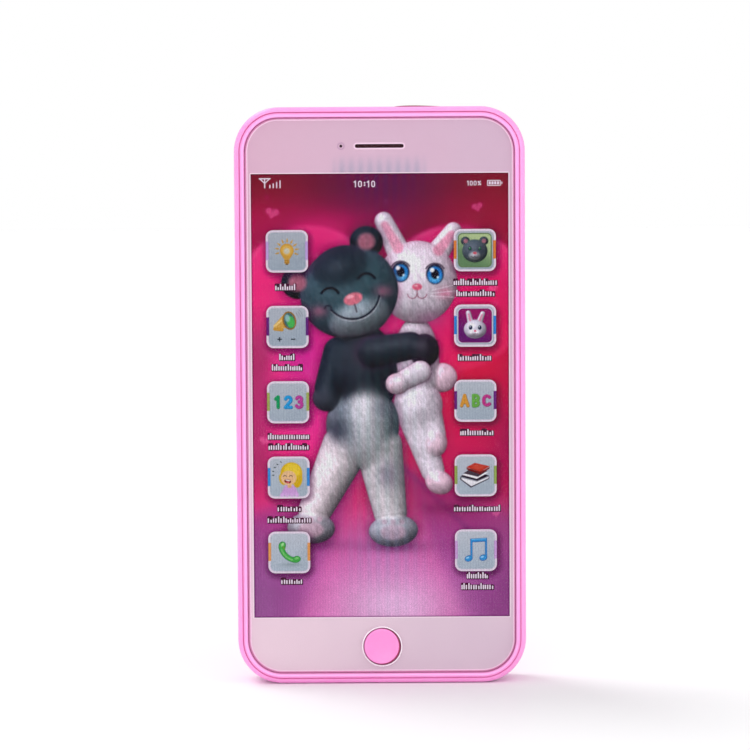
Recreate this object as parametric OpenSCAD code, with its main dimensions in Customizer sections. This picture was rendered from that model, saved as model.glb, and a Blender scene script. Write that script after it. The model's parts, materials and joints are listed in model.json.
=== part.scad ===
// Toy cell phone: a two-part moulded case with a printed ribbed front sheet,
// a sprung home button, a torch on the top edge, a loudspeaker and a battery bay.
// The phone stands on its bottom edge: X is its width, Y its thickness with the
// screen facing -Y, and Z its height. The origin is the middle of the bottom edge.
// Left and right are as seen from the front; right is +X.

/* [Case] */
// Width of the case across the screen
case_w = 73; // [72:0.5:76]
// Height of the case, standing on its bottom edge
case_h = 145.6; // [145:0.2:150]
// Thickness of the closed case
case_t = 16; // [16:0.1:17]
// Radius of the four corners, seen from the front
corner_r = 11.2; // [10.4:0.2:12]
// Thickness of the side walls
wall = 1.8; // [1.6:0.1:1.9]
// Radius of the back edge
back_edge_r = 3.2; // [2.6:0.1:3.6]
// Width of the pink rim around the front sheet
rim_w = 2.55; // [2.5:0.05:2.7]

/* [Front sheet] */
// Gap between the rim and the front sheet, all round
sheet_gap = 0.2; // [0.1:0.05:0.3]
// Thickness of the clear ribbed sheet
sheet_t = 0.7; // [0.6:0.05:0.8]

/* [Home button] */
// Diameter of the button cap
button_d = 9.2; // [8.6:0.1:9.4]
// Diameter of the hole in the front sheet
button_hole_d = 9.8; // [9.6:0.1:10.2]
// Height of the button's centre above the bottom edge
button_z = 9.35; // [9.2:0.05:9.6]

/* [Power switch] */
// Travel of the switch knob
switch_travel = 2.5; // [2:0.1:2.6]

/* [Batteries] */
// Diameter of one cell
cell_d = 10.5; // [10.2:0.1:10.5]
// Length of one cell, with its positive button
cell_l = 44.5; // [44:0.1:44.5]

/* [Battery cover] */
// Width of the battery cover
door_w = 38; // [37.6:0.2:39]
// Gap around the battery cover
door_gap = 0.25; // [0.15:0.05:0.3]

/* [Speaker] */
// Outer diameter of the loudspeaker
speaker_d = 28; // [27.6:0.2:28.4]
// Diameter of one hole of the speaker grille
grille_hole_d = 1.6; // [1.2:0.1:1.8]

/* [Torch] */
// Centre of the torch window, right of the middle
torch_x = 10.2; // [8:0.2:12]
// Length of the torch window along the top edge
torch_l = 14; // [13:0.2:15]

/* [Hidden] */

$fn = 64;
front_y = -case_t / 2;
back_y = case_t / 2;
half_w = case_w / 2;

// front stack: the front face of each layer, front to back
sheet_y = front_y + 0.65;
print_y = sheet_y + sheet_t;
glue_y = print_y + 0.15;
deck_y = front_y + 1.6;
deck_back_y = deck_y + 1.2;
film_back_y = deck_back_y + 0.15;
post_root_y = deck_back_y - 0.2; // posts start inside the deck

// parting line between the two halves
part_front_y = 0.85;
part_rear_y = 1.05;
tongue_y = -0.5;

// back wall of the rear half
back_wall_t = 1.6;
inner_y = back_y - back_wall_t;
wall_root_y = inner_y + 0.2; // features start inside the back wall

// case screws
boss_x = half_w - 8.5;
boss_z = [10.5, case_h - 10.5];
screw_seat_y = 5.4;

// battery bay
bay_w = 33.6;
bay_z0 = 24;
bay_z1 = 75;
bay_wall = 1.2;
bay_floor_y = -4.3;
bay_front_y = bay_floor_y - 0.7;
cell_y = 1.0;
cell_pitch = 10.9;

// battery cover
door_z0 = 19;
door_z1 = 82;
door_t = 1.35;
door_y = back_y - door_t;
cover_screw_z = 78.6;
tab_x = 11;

// main board, and the posts it is screwed to
board_w = 50;
board_z0 = 84.6;
board_z1 = 97.4;
board_y = 0;
board_back_y = board_y + 1.2;
post_x = 21.5;
post_z = 91;

// button board, and the pins that hold it
button_board_y = -0.6;
button_board_back_y = button_board_y + 1.0;
pin_x = 8.3;

// power switch
switch_x = 27;
switch_z = 62;
ear_z = 10.8; // mounting holes above and below the switch's centre
terminal_pitch = 2.5;

speaker_z = 112;
speaker_r = speaker_d / 2;

// torch
led_y = 0.95;
led_z = case_h - 13.4; // foot of the lamp

pink = [0.98, 0.62, 0.86];
board_green = [0.1, 0.42, 0.2];
cell_green = [0.2, 0.45, 0.25];
black = [0.06, 0.06, 0.07];

// ---------- helpers ----------

// moves its children in the X-Z plane
module at(x, z) translate([x, 0, z]) children();
module at_case_screws() for (side = [-1, 1], z = boss_z) at(side * boss_x, z) children();
module at_board_posts() for (side = [-1, 1]) at(side * post_x, post_z) children();
module at_button_pins() for (side = [-1, 1]) at(side * pin_x, button_z) children();
module at_tabs() for (side = [-1, 1]) at(side * tab_x, 0) children();

// carries a 2D shape drawn in X and Y (Y up the page) to the X-Z plane, from y0 to y1
module slab(y0, y1)
  translate([0, y1, 0]) rotate([90, 0, 0]) linear_extrude(y1 - y0) children();
// cylinder along +Y from y0 to y1
module rod(r, y0, y1) translate([0, y0, 0]) rotate([-90, 0, 0]) cylinder(r = r, h = y1 - y0);
// revolves a profile (X is the radius, Y runs along +Y) about the Y axis
module turned() rotate([-90, 0, 0]) rotate_extrude() children();
// block from its low corner to its high corner
module block(low, high) translate(low) cube(high - low);

// a rounded rectangle, centred, made of true arcs
module rounded_rect(w, h, r) {
  square([w, h - 2 * r], center = true);
  square([w - 2 * r, h], center = true);
  for (x = [-1, 1], y = [-1, 1]) translate([x * (w / 2 - r), y * (h / 2 - r)]) circle(r);
}

// a plate in the case's outline, pulled in by inset
module outline_plate(inset, y0, y1)
  slab(y0, y1) translate([0, case_h / 2])
    rounded_rect(case_w - 2 * inset, case_h - 2 * inset, corner_r - inset);

// sweeps a 2D profile round the case: X of the profile runs outward from the corner
// centre (the outside face is at X = corner_r) and Y of the profile is the case's Y
module case_ring() {
  centre_x = half_w - corner_r;
  top_z = case_h - corner_r;
  // corners: side, height of the corner centre, turn
  for (corner = [[1, top_z, -90], [-1, top_z, -180], [1, corner_r, 0], [-1, corner_r, 90]])
    at(corner[0] * centre_x, corner[1]) rotate([-90, 0, 0]) rotate([0, 0, corner[2]])
      rotate_extrude(angle = 90) children();
  // sides
  at(centre_x, corner_r) linear_extrude(case_h - 2 * corner_r) children();
  mirror([1, 0, 0]) at(centre_x, corner_r) linear_extrude(case_h - 2 * corner_r) children();
  // top and bottom
  at(centre_x, top_z) rotate([0, -90, 0]) linear_extrude(case_w - 2 * corner_r) children();
  at(0, corner_r) mirror([0, 0, 1]) at(centre_x, 0) rotate([0, -90, 0])
    linear_extrude(case_w - 2 * corner_r) children();
}

// points of an arc
function arc(centre_x, centre_y, r, from, to, steps) = [for (i = [0:steps])
  let (a = from + (to - from) * i / steps) [centre_x + r * cos(a), centre_y + r * sin(a)]];

// cross recess in a screw head, centred at y
module cross_recess(y, size)
  for (turn = [0, 90]) translate([0, y, 0]) rotate([0, turn, 0]) cube(size, center = true);

// Catmull-Rom curve from b to c
function spline(a, b, c, d, t) = 0.5 * (2 * b + (c - a) * t
  + (2 * a - 5 * b + 4 * c - d) * t * t + (3 * b - a - 3 * c + d) * t * t * t);
// smooth path through the points, with the given steps in each span
function smooth(points, steps) = let (n = len(points)) concat(
  [for (i = [0:n - 2], j = [0:steps - 1]) spline(points[max(i - 1, 0)], points[i],
    points[i + 1], points[min(i + 2, n - 1)], j / steps)],
  [points[n - 1]]);
function unit(v) = v / norm(v);
function tangents(path) = let (n = len(path))
  [for (i = [0:n - 1]) unit(path[min(i + 1, n - 1)] - path[max(i - 1, 0)])];
// a normal carried along the path without twist
function carried(tangent, i, v) =
  let (normal = unit(v - (v * tangent[i]) * tangent[i]))
  i == len(tangent) - 1 ? [normal] : concat([normal], carried(tangent, i + 1, normal));

module tube(path, r, sides = 8) {
  tangent = tangents(path);
  normal = carried(tangent, 0, abs(tangent[0][0]) < 0.8 ? [1, 0, 0] : [0, 0, 1]);
  last = len(path) - 1;
  points = [for (i = [0:last], j = [0:sides - 1]) let (a = 360 * j / sides)
    path[i] + r * cos(a) * normal[i] + r * sin(a) * cross(tangent[i], normal[i])];
  faces = concat(
    [[for (j = [0:sides - 1]) j]],
    [[for (j = [sides - 1:-1:0]) last * sides + j]],
    [for (i = [0:last - 1], j = [0:sides - 1])
      [i * sides + j, (i + 1) * sides + j, (i + 1) * sides + (j + 1) % sides]],
    [for (i = [0:last - 1], j = [0:sides - 1])
      [i * sides + j, (i + 1) * sides + (j + 1) % sides, i * sides + (j + 1) % sides]]);
  polyhedron(points = points, faces = faces, convexity = 6);
}
module wire(points) tube(smooth(points, 5), 0.5);

// ---------- case ----------

button_r = button_d / 2;
button_bore_r = button_r + 0.07;

// cutter of the torch window, shared by the two halves
module torch_window(y0, y1)
  block([torch_x - torch_l / 2 - 0.05, y0, case_h - wall - 1],
    [torch_x + torch_l / 2 + 0.05, y1, case_h + 1]);

// wall of the front half: rounded outer band, groove, half-round bead, pocket wall
front_profile = concat(
  [[corner_r, part_front_y - 0.25], [corner_r, front_y + 1.85]],
  arc(corner_r - 1.6, front_y + 1.85, 1.6, 0, -77, 7),
  [[corner_r - 1.27, front_y + 0.62], [corner_r - 1.43, front_y + 0.62]],
  arc(corner_r - rim_w + 0.55, front_y + 0.55, 0.55, 0, -180, 8),
  [[corner_r - rim_w, deck_back_y], [corner_r - wall, deck_back_y],
   [corner_r - wall, tongue_y - 0.15], [corner_r - 0.85, tongue_y - 0.15],
   [corner_r - 0.85, part_front_y], [corner_r - 0.2, part_front_y]]);

module front_housing() color(pink) difference() {
  union() {
    case_ring() polygon(front_profile);
    outline_plate(rim_w - 0.3, deck_y, deck_back_y);
    // bosses for the case screws
    at_case_screws() rod(3, post_root_y, 3.9);
    // posts that carry the main board
    at_board_posts() rod(2.2, post_root_y, board_y);
    // posts and pins that hold the button board
    at_button_pins() {
      rod(1.6, post_root_y, button_board_y);
      rod(0.8, button_board_y - 0.2, button_board_back_y + 0.5);
    }
    // collar round the button's bore
    at(0, button_z) turned() translate([button_bore_r, post_root_y]) square([0.9, 0.2]);
    // fork that holds the torch lamp
    block([torch_x - 3.4, post_root_y, case_h - 12.2], [torch_x + 3.4, led_y, case_h - 10.8]);
    // stiffening ribs across the deck
    for (z = [20.5, 128]) block([-21, post_root_y, z], [21, deck_back_y + 1.2, z + 1.2]);
  }
  // hole for the button
  at(0, button_z) rod(button_bore_r, front_y - 1, deck_back_y + 0.5);
  // pilot holes
  at_case_screws() rod(1.12, -4.0, 5);
  at_board_posts() rod(0.82, -3.4, 1);
  // seat of the lamp
  translate([torch_x, led_y, case_h - 13]) cylinder(r = 1.58, h = 3);
  torch_window(led_y - 2.25, led_y + 1);
  // shallow widening below the window, round the flange of the lens
  block([torch_x - torch_l / 2 - 1.1, led_y - 3.35, case_h - wall - 0.5],
    [torch_x + torch_l / 2 + 1.1, led_y + 1, case_h - wall + 0.02]);
}

// wall of the rear half: side, rounded back edge, inside corner, tongue
rear_profile = concat(
  [[corner_r - 0.2, part_rear_y], [corner_r, part_rear_y + 0.25],
   [corner_r, back_y - back_edge_r]],
  arc(corner_r - back_edge_r, back_y - back_edge_r, back_edge_r, 0, 90, 9),
  [[corner_r - 5, back_y], [corner_r - 5, inner_y]],
  arc(corner_r - wall - 1.5, inner_y - 1.5, 1.5, 90, 0, 5),
  [[corner_r - wall, tongue_y], [corner_r - 0.95, tongue_y], [corner_r - 0.95, part_rear_y]]);

// centres of the grille holes: one in the middle and two rings round it
grille_pitch = 3.3;
function hole_ring(count, r, start) =
  [for (i = [0:count - 1]) let (a = 360 / count * i + start) r * [cos(a), sin(a)]];
grille_holes = concat([[0, 0]], hole_ring(6, grille_pitch, 0),
  hole_ring(12, 2 * grille_pitch, 15));

module rear_cover() color(pink) difference() {
  union() {
    case_ring() polygon(rear_profile);
    outline_plate(4.6, inner_y, back_y);
    // battery bay: side walls, end walls and floor
    block([-bay_w / 2 - bay_wall, bay_front_y, bay_z0 - bay_wall],
      [bay_w / 2 + bay_wall, wall_root_y, bay_z1 + bay_wall]);
    // ledge that the battery cover rests on
    block([-door_w / 2 - 2, 5.2, door_z0 - 2], [door_w / 2 + 2, wall_root_y, door_z1 + 2]);
    // boss of the cover screw
    block([-3.4, bay_front_y, bay_z1 + 0.2], [3.4, 2.3, cover_screw_z]);
    at(0, cover_screw_z) rod(3.4, bay_front_y, 2.3);
    // sleeves of the case screws
    at_case_screws() rod(3.3, 4.0, wall_root_y);
    // ring that centres the speaker
    at(0, speaker_z) turned() translate([speaker_r + 0.15, 4.3])
      square([1.1, wall_root_y - 4.3]);
    // posts and pins of the power switch
    for (end = [-1, 1]) at(switch_x, switch_z + end * ear_z) {
      rod(2, 4.8, wall_root_y);
      rod(0.95, 3.9, 5);
    }
  }
  // inside of the bay
  block([-bay_w / 2, bay_floor_y, bay_z0], [bay_w / 2, back_y + 1, bay_z1]);
  // recess of the battery cover
  block([-door_w / 2 - door_gap, door_y - 0.05, door_z0 - door_gap],
    [door_w / 2 + door_gap, back_y + 1, door_z1 + door_gap]);
  // room for the two tabs of the cover
  at_tabs() {
    block([-3, 4.3, door_z0 - 3.7], [3, inner_y, bay_z0 - bay_wall]);
    block([-3, 4.3, door_z0 - door_gap], [3, back_y + 1, bay_z0 - bay_wall]);
  }
  // room for the screw post of the cover, and bore of its screw
  at(0, cover_screw_z) {
    rod(3.6, 2.3, back_y + 1);
    rod(1.6, -2.6, 3);
  }
  // case screw holes and counterbores
  at_case_screws() {
    rod(1.3, 3, back_y);
    rod(2.5, screw_seat_y, back_y + 1);
  }
  for (hole = grille_holes)
    at(hole[0], speaker_z + hole[1]) rod(grille_hole_d / 2, inner_y - 1, back_y + 1);
  // slot and finger recess of the power switch
  at(switch_x, switch_z + switch_travel / 2) {
    slab(inner_y - 1, back_y + 1) rounded_rect(3.5, 5.7 + switch_travel + 0.3, 0.6);
    slab(back_y - 0.6, back_y + 1) rounded_rect(7, 13, 2);
  }
  // slots of the contact plates' solder tags
  at(-cell_pitch, bay_z1) block([-1.6, 3.0, -0.5], [1.6, 4.2, bay_wall + 1]);
  at(cell_pitch, bay_z0) block([-1.6, 3.0, -bay_wall - 1], [1.6, 4.2, 0.5]);
  torch_window(tongue_y - 1, led_y + 2.25);
}

module case_screws() color([0.78, 0.78, 0.8]) at_case_screws() difference() {
  union() {
    rod(1.08, -2.4, 5.5);
    rod(2.15, screw_seat_y, 6.5);
    turned() polygon(concat([[0, 6.4], [2.15, 6.4]], arc(0, 4.97, 2.6, 34.2, 90, 6)));
  }
  cross_recess(7.1, [2.6, 1.8, 0.55]);
}

// ---------- front sheet stack ----------

sheet_inset = rim_w + sheet_gap;

module sheet(y0, y1, inset = sheet_inset) difference() {
  outline_plate(inset, y0, y1);
  at(0, button_z) rod(button_hole_d / 2, y0 - 1, y1 + 1);
}
module lenticular_sheet() color([0.93, 0.86, 0.92, 0.4]) sheet(sheet_y, print_y);
module printed_picture() color([0.85, 0.35, 0.6]) sheet(print_y, glue_y);
// a frame of tape, open in the middle
module panel_adhesive() color([0.95, 0.95, 0.9]) difference() {
  sheet(glue_y, deck_y, sheet_inset + 0.4);
  slab(glue_y - 1, deck_y + 1) translate([0, case_h / 2 + 4]) square([52, 106], center = true);
}

// ---------- touch film ----------

icon_x = 23.65;
icon_z = [33.4, 52.1, 71.1, 90.1, 109.2];
strip_w = 12;
tail_w = 10;
// tail that folds back to the main board: Y, Z
tail_profile = [[deck_back_y, 94.9], [film_back_y, 94.9], [film_back_y, 98.7], [-0.6, 99.0],
  [-0.15, 98.4], [-0.15, 94.5], [0, 94.5], [0, 98.45], [-0.55, 99.15], [deck_back_y, 98.85]];

module touch_film() color([0.85, 0.6, 0.25]) {
  difference() {
    // a strip down each side, joined by a bridge
    slab(deck_back_y, film_back_y) union() {
      for (side = [-1, 1]) translate([side * icon_x - strip_w / 2, 26]) square([strip_w, 91]);
      translate([-18, 86]) square([36, 9]);
    }
    at_board_posts() rod(2.5, deck_back_y - 1, film_back_y + 1);
  }
  translate([-tail_w / 2, 0, 0]) rotate([90, 0, 90]) linear_extrude(tail_w)
    polygon(tail_profile);
}

// square pads, cut clear of the board posts
module touch_pads() color([0.75, 0.45, 0.2])
  for (side = [-1, 1], z = icon_z) slab(film_back_y, film_back_y + 0.06) difference() {
    translate([side * icon_x, z]) square([9.6, 9.6], center = true);
    translate([side * post_x, post_z]) circle(2.7);
  }

// ---------- main board, with its parts on the back face ----------

lead_r = 0.22;

module main_board() color(board_green) difference() {
  block([-board_w / 2, board_y, board_z0], [board_w / 2, board_back_y, board_z1]);
  at_board_posts() rod(1.2, board_y - 1, board_back_y + 1);
}
module board_screws() color([0.7, 0.7, 0.72]) at_board_posts() difference() {
  union() {
    rod(0.78, -2.6, board_back_y + 0.1);
    rod(1.8, board_back_y, board_back_y + 1);
  }
  cross_recess(board_back_y + 0.9, [2.2, 1, 0.45]);
}
// domed blob
module music_chip() color([0.05, 0.05, 0.06]) at(-4, 91) turned()
  polygon(concat([[0, board_back_y], [7.8 * cos(52.7), board_back_y]],
    arc(0, board_back_y - 6.2, 7.8, 52.7, 90, 8)));
module resistors() color([0.85, 0.72, 0.5]) for (i = [0:3]) at(4.2 + 2.3 * i, 89.6) {
  translate([0, board_back_y + 0.75, -1.6]) cylinder(r = 0.72, h = 3.2);
  translate([0, board_back_y + 0.75, -2.6]) cylinder(r = lead_r, h = 5.2);
  for (end = [-1, 1]) at(0, end * 2.6) rod(lead_r, board_back_y, board_back_y + 0.97);
}
module capacitors() color([0.15, 0.2, 0.45]) {
  // electrolytic can lying on the board, with bent leads
  translate([-17.6, board_back_y + 2.1, 0]) {
    at(0, 86) cylinder(r = 2, h = 6.4);
    for (side = [-1, 1]) at(side * 0.9, 92.2) cylinder(r = lead_r, h = 1.3);
  }
  for (side = [-1, 1])
    at(-17.6 + side * 0.9, 93.3) rod(lead_r, board_back_y, board_back_y + 2.3);
  // two ceramic discs standing on the board
  for (x = [-12.2, 14]) at(x, 95.2) {
    translate([-0.6, board_back_y + 2, 0]) rotate([0, 90, 0]) cylinder(r = 1.55, h = 1.2);
    for (end = [-1, 1]) at(0, end * 0.7) rod(lead_r, board_back_y, board_back_y + 1);
  }
}
module transistors() color([0.08, 0.08, 0.09]) for (x = [6.2, 10.6]) at(x, 94.6) {
  difference() {
    rod(1.55, board_back_y + 1.4, board_back_y + 4);
    // flat on the upper side
    block([-3, board_back_y, 1], [3, board_back_y + 5, 3.4]);
  }
  for (i = [-1:1]) at(0.8 * i, 0) rod(0.2, board_back_y, board_back_y + 1.5);
}

// ---------- home button ----------

dish_r = 15;
dish_angle = asin(3.9 / dish_r);
flange_r = 5.8;
flange_back_y = deck_back_y + 1.0;
button_back_y = -3.2;
pill_y = -2.25;
dome_base_y = -1.2;

// cap with a shallow dish, a rounded rim, a flange behind the deck and a stem
module home_button() color(pink) at(0, button_z) turned() polygon(concat(
  [for (i = [0:8]) let (a = dish_angle * i / 8)
    [dish_r * sin(a), sheet_y + 0.42 - dish_r * (1 - cos(a))]],
  [[4.15, sheet_y - 0.1]],
  arc(button_r - 0.35, sheet_y + 0.25, 0.35, -90, 0, 4),
  [[button_r, deck_back_y + 0.02], [flange_r, deck_back_y + 0.02],
   [flange_r, flange_back_y], [2, flange_back_y], [2, button_back_y], [0, button_back_y]]));
module button_dome() color([0.9, 0.9, 0.92]) at(0, button_z) {
  // square base with a round opening
  difference() {
    slab(dome_base_y, button_board_y) square([12.6, 11], center = true);
    rod(3.6, -2, 0);
  }
  // sloping skirt and closed end
  turned() polygon([[4.6, dome_base_y], [4.6, -1.0], [3.6, -1.0], [3.6, -1.25],
    [2.6, pill_y], [0, pill_y], [0, button_back_y], [2.0, button_back_y], [2.6, -2.95],
    [4.25, -1.3]]);
}
module carbon_pill() color([0.08, 0.08, 0.08]) at(0, button_z) rod(1.6, pill_y, -1.7);
module button_board() color(board_green) difference() {
  at(0, button_z) slab(button_board_y, button_board_back_y) square([21, 12.4], center = true);
  at_button_pins() rod(0.88, -2, 2);
}

// ---------- power switch ----------

module switch_case() color([0.75, 0.76, 0.78]) at(switch_x, switch_z) difference() {
  union() {
    block([-2, 1.6, -4.4], [2, 4.8, 4.4]);
    // mounting strip
    block([-2, 4.5, -12.9], [2, 4.8, 12.9]);
  }
  // inside, lever slot, ear holes and terminal slots
  block([-1.7, 1.9, -4.1], [1.7, 4.5, 4.1]);
  block([-0.95, 4, -1.1], [0.95, 5, 1.1 + switch_travel]);
  for (end = [-1, 1]) at(0, end * ear_z) rod(1.05, 4, 5);
  for (i = [-1:1]) at(0, i * terminal_pitch) block([-0.25, 1, -0.5], [0.25, 2, 0.5]);
}
module switch_terminals() color([0.85, 0.8, 0.6]) for (i = [-1:1])
  at(switch_x, switch_z + i * terminal_pitch) block([-0.2, -0.8, -0.4], [0.2, 2.1, 0.4]);
module switch_lever() color([0.15, 0.15, 0.16]) at(switch_x, switch_z) {
  block([-1.5, 2.3, -1.5], [1.5, 4.4, 1.5]);
  block([-0.8, 4.3, -0.9], [0.8, 6.1, 0.9]);
}
module switch_knob() color(pink) at(switch_x, switch_z) difference() {
  union() {
    // plate behind the wall that always covers the slot
    block([-2.7, 5.5, -5.6], [2.7, 6.3, 5.6]);
    slab(6.2, back_y - 0.15) rounded_rect(3.2, 5.4, 0.5);
  }
  // socket over the lever
  block([-0.85, 5, -0.95], [0.85, 6.15, 0.95]);
  // grip grooves
  for (i = [-2:2]) at(0, 0.9 * i) block([-2, back_y - 0.45, -0.2], [2, back_y, 0.2]);
}

// ---------- speaker ----------

magnet_y = 1.0;
pole_y = 2.2;
basket_y = 2.6;
gasket_y = 5.9;
gasket_bore_r = 12;
coil_r = 4.85; // inside radius of the voice coil
coil_back_y = 3.8;

module speaker_basket() color([0.2, 0.2, 0.22]) at(0, speaker_z) turned()
  polygon([[5.9, basket_y], [12.9, basket_y], [12.9, 4.9], [speaker_r, 4.9],
    [speaker_r, gasket_y], [gasket_bore_r, gasket_y], [gasket_bore_r, 3.2], [5.9, 3.2]]);
module speaker_yoke() color([0.7, 0.7, 0.72]) at(0, speaker_z) turned()
  polygon([[0, 0.3], [7.2, 0.3], [7.2, basket_y], [6.0, basket_y],
    [6.0, magnet_y], [0, magnet_y]]);
module speaker_magnet() color([0.55, 0.55, 0.58]) at(0, speaker_z) rod(4.4, magnet_y, pole_y);
module pole_plate() color([0.8, 0.8, 0.82]) at(0, speaker_z) rod(4.5, pole_y, 2.9);
module voice_coil() color([0.72, 0.4, 0.15]) at(0, speaker_z) turned()
  translate([coil_r, 1.9]) square([0.5, coil_back_y - 1.9]);
module speaker_cone() color([0.2, 0.17, 0.15]) at(0, speaker_z) {
  // cone with a half-roll edge
  turned() polygon(concat(
    [[coil_r, coil_back_y], [coil_r + 0.5, coil_back_y], [9.2, 4.75]],
    [for (a = [170:-28:2]) [10.5 + 1.05 * cos(a), 4.8 + 0.45 * sin(a)]],
    [[11.7, 4.8], [11.7, 5.05]],
    [for (a = [10:26.6:170]) [10.5 + 1.2825 * cos(a), 5.0 + 0.55 * sin(a)]],
    [[9.15, 5.02], [5.2, 4.05], [coil_r, 4.05]]));
  // domed cap
  turned() polygon(concat(
    [for (i = [0:6]) let (a = 31 * i / 6) [9.7 * sin(a), 5.5 - 9.7 * (1 - cos(a))]],
    [[5.2, 4.0], [coil_r, 4.0]],
    [for (i = [6:-1:0]) let (a = 29.6 * i / 6) [9.5 * sin(a), 5.25 - 9.5 * (1 - cos(a))]]));
}
module speaker_gasket() color([0.12, 0.12, 0.12]) at(0, speaker_z) turned()
  translate([gasket_bore_r, gasket_y]) square([speaker_r - gasket_bore_r, inner_y - gasket_y]);

// ---------- torch ----------

module torch_lens() color([0.55, 0.1, 0.2, 0.7]) {
  x0 = torch_x - torch_l / 2;
  x1 = torch_x + torch_l / 2;
  block([x0, led_y - 2.2, case_h - wall - 0.2], [x1, led_y + 2.2, case_h + 0.04]);
  // flange inside the case
  block([x0 - 1, led_y - 3.2, case_h - wall - 1.4], [x1 + 1, led_y + 3.2, case_h - wall - 0.05]);
  // low crown, fullest left of its middle
  slab(led_y - 2.2, led_y + 2.2) polygon(concat(
    [[x0 + 0.2, case_h]],
    [for (i = [0:16]) let (u = i / 16)
      [x0 + 0.2 + (torch_l - 0.4) * u, case_h + 0.04 + 0.33 * sin(180 * pow(u, 0.7))]],
    [[x1 - 0.2, case_h]]));
}
module torch_led() color([0.95, 0.95, 0.97, 0.8]) translate([torch_x, led_y, 0])
  rotate_extrude() polygon(concat(
    [[0, led_z], [1.9, led_z], [1.9, led_z + 1], [1.5, led_z + 1], [1.5, case_h - 9]],
    arc(0, case_h - 9, 1.5, 0, 90, 6)));
module torch_leads() color([0.75, 0.75, 0.78]) for (side = [-1, 1])
  translate([torch_x + side * 1.1, led_y, led_z])
    block([-0.25, -0.25, -3.8], [0.25, 0.25, 0]);

// ---------- batteries ----------

nub_l = 1.2; // positive button of a cell
cell_gap = 0.4; // from the nub or flat end wall datum to the bay's end
plate_t = 0.32;
plate_gap = 0.04; // from a contact plate to the bay's end
plate_in = plate_gap + plate_t;

// one cell, with its positive button at the top or at the bottom
module cell(x, nub_up) {
  body_l = cell_l - nub_l;
  z0 = nub_up ? bay_z1 - cell_gap - cell_l : bay_z0 + cell_gap + nub_l;
  // radius, height above the flat end
  profile = [[0, 0], [4.4, 0], [4.4, 0.15], [cell_d / 2, 0.15], [cell_d / 2, body_l],
    [4.6, body_l], [4.6, body_l - 0.2], [1.9, body_l - 0.2], [1.9, cell_l], [0, cell_l]];
  translate([x, cell_y, z0]) rotate_extrude()
    polygon([for (p = profile) [p[0], nub_up ? p[1] : body_l - p[1]]]);
}
module battery_cell_left() color(cell_green) cell(-cell_pitch, true);
module battery_cell_middle() color(cell_green) cell(0, false);
module battery_cell_right() color(cell_green) cell(cell_pitch, true);

// conical contact spring, from a plate at z to the flat end of a cell; dir is +1 for up
spring_end = 0.28; // from the wire's centre line to the plate or the cell
spring_h = bay_z1 - cell_gap - cell_l - bay_z0 - plate_in - 2 * spring_end;
module cell_spring(x, z, dir)
  tube([for (i = [0:56]) let (t = i / 56, a = 360 * 4 * t, r = 3.2 - 1.3 * t)
    [x + r * cos(a), cell_y + r * sin(a), z + dir * (spring_end + spring_h * t)]], 0.26, 6);
module battery_springs() color([0.8, 0.8, 0.82]) {
  for (side = [-1, 1]) cell_spring(side * cell_pitch, bay_z0 + plate_in, 1);
  cell_spring(0, bay_z1 - plate_in, -1);
}

// contact plate reaching 4.4 past the centre lines of its first and last cells
module contact_plate(first_x, last_x, z)
  block([first_x - 4.4, -3.4, z], [last_x + 4.4, 5.2, z + plate_t]);
module contact_plates() color([0.82, 0.82, 0.84]) {
  low_z = bay_z0 + plate_gap;
  high_z = bay_z1 - plate_in;
  // lower end: left spring and middle button share one plate
  contact_plate(-cell_pitch, 0, low_z);
  // lower right plate with its solder tag through the bay wall
  contact_plate(cell_pitch, cell_pitch, low_z);
  at(cell_pitch, bay_z0) block([-1.2, 3.4, -bay_wall - 2.2], [1.2, 3.8, 0.1]);
  // upper end: left plate with its tag, and the plate shared by the other two
  contact_plate(-cell_pitch, -cell_pitch, high_z);
  at(-cell_pitch, bay_z1) block([-1.2, 3.4, -0.1], [1.2, 3.8, bay_wall + 2.2]);
  contact_plate(0, cell_pitch, high_z);
}

// ---------- battery cover ----------

module battery_cover() color(pink) difference() {
  union() {
    slab(door_y, back_y) translate([0, (door_z0 + door_z1) / 2])
      square([door_w, door_z1 - door_z0], center = true);
    // two tabs that hook under the case at the foot
    at_tabs() {
      block([-2.5, 4.9, door_z0 + 0.15], [2.5, door_y + 0.2, door_z0 + 2]);
      block([-2.5, 4.9, door_z0 - 1.8], [2.5, inner_y - 0.2, door_z0 + 0.3]);
    }
    // post around the screw
    at(0, cover_screw_z) rod(3.3, 5.5, door_y + 0.2);
    // stiffening ribs
    for (side = [-1, 1]) at(side * 15.6, 0) block([-0.5, 6.0, 27], [0.5, door_y + 0.2, 72]);
  }
  // counterbore and hole of the screw
  at(0, cover_screw_z) {
    rod(2.3, 6.3, back_y + 1);
    rod(1.15, 5, back_y);
  }
  // finger grooves
  for (i = [0:3]) at(0, 70.2 - 1.6 * i) block([-6, back_y - 0.4, 0], [6, back_y + 1, 0.8]);
}
module battery_pad() color([0.2, 0.2, 0.22]) block([-13, 6.28, 44], [13, door_y, 56]);

module cover_screw() color([0.8, 0.8, 0.82]) at(0, cover_screw_z) difference() {
  union() {
    rod(1.0, -1.0, 6.4);
    rod(2.1, 6.35, 7.3);
    turned() polygon(concat([[0, 7.2], [2.1, 7.2]], arc(0, 2.0, 5.7, 68.3, 90, 6)));
  }
  cross_recess(7.5, [2.6, 1.4, 0.55]);
}
module screw_washer() color([0.15, 0.15, 0.16]) at(0, cover_screw_z) turned()
  translate([1.04, 2.4]) square([1.5, 0.6]);

// ---------- wiring: points along each wire ----------

terminal_y = -1.34; // wire centre at the switch terminals

// upper left tag to the board
module red_battery_wire() color([0.8, 0.08, 0.08])
  wire([[-cell_pitch, 4.35, 77.2], [-cell_pitch - 0.2, 4.5, 79.4], [-14.6, 4.3, 82],
    [-20, 3.8, 84.2], [-21.3, 2.8, 86], [-21.3, board_back_y, 86.1]]);
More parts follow.
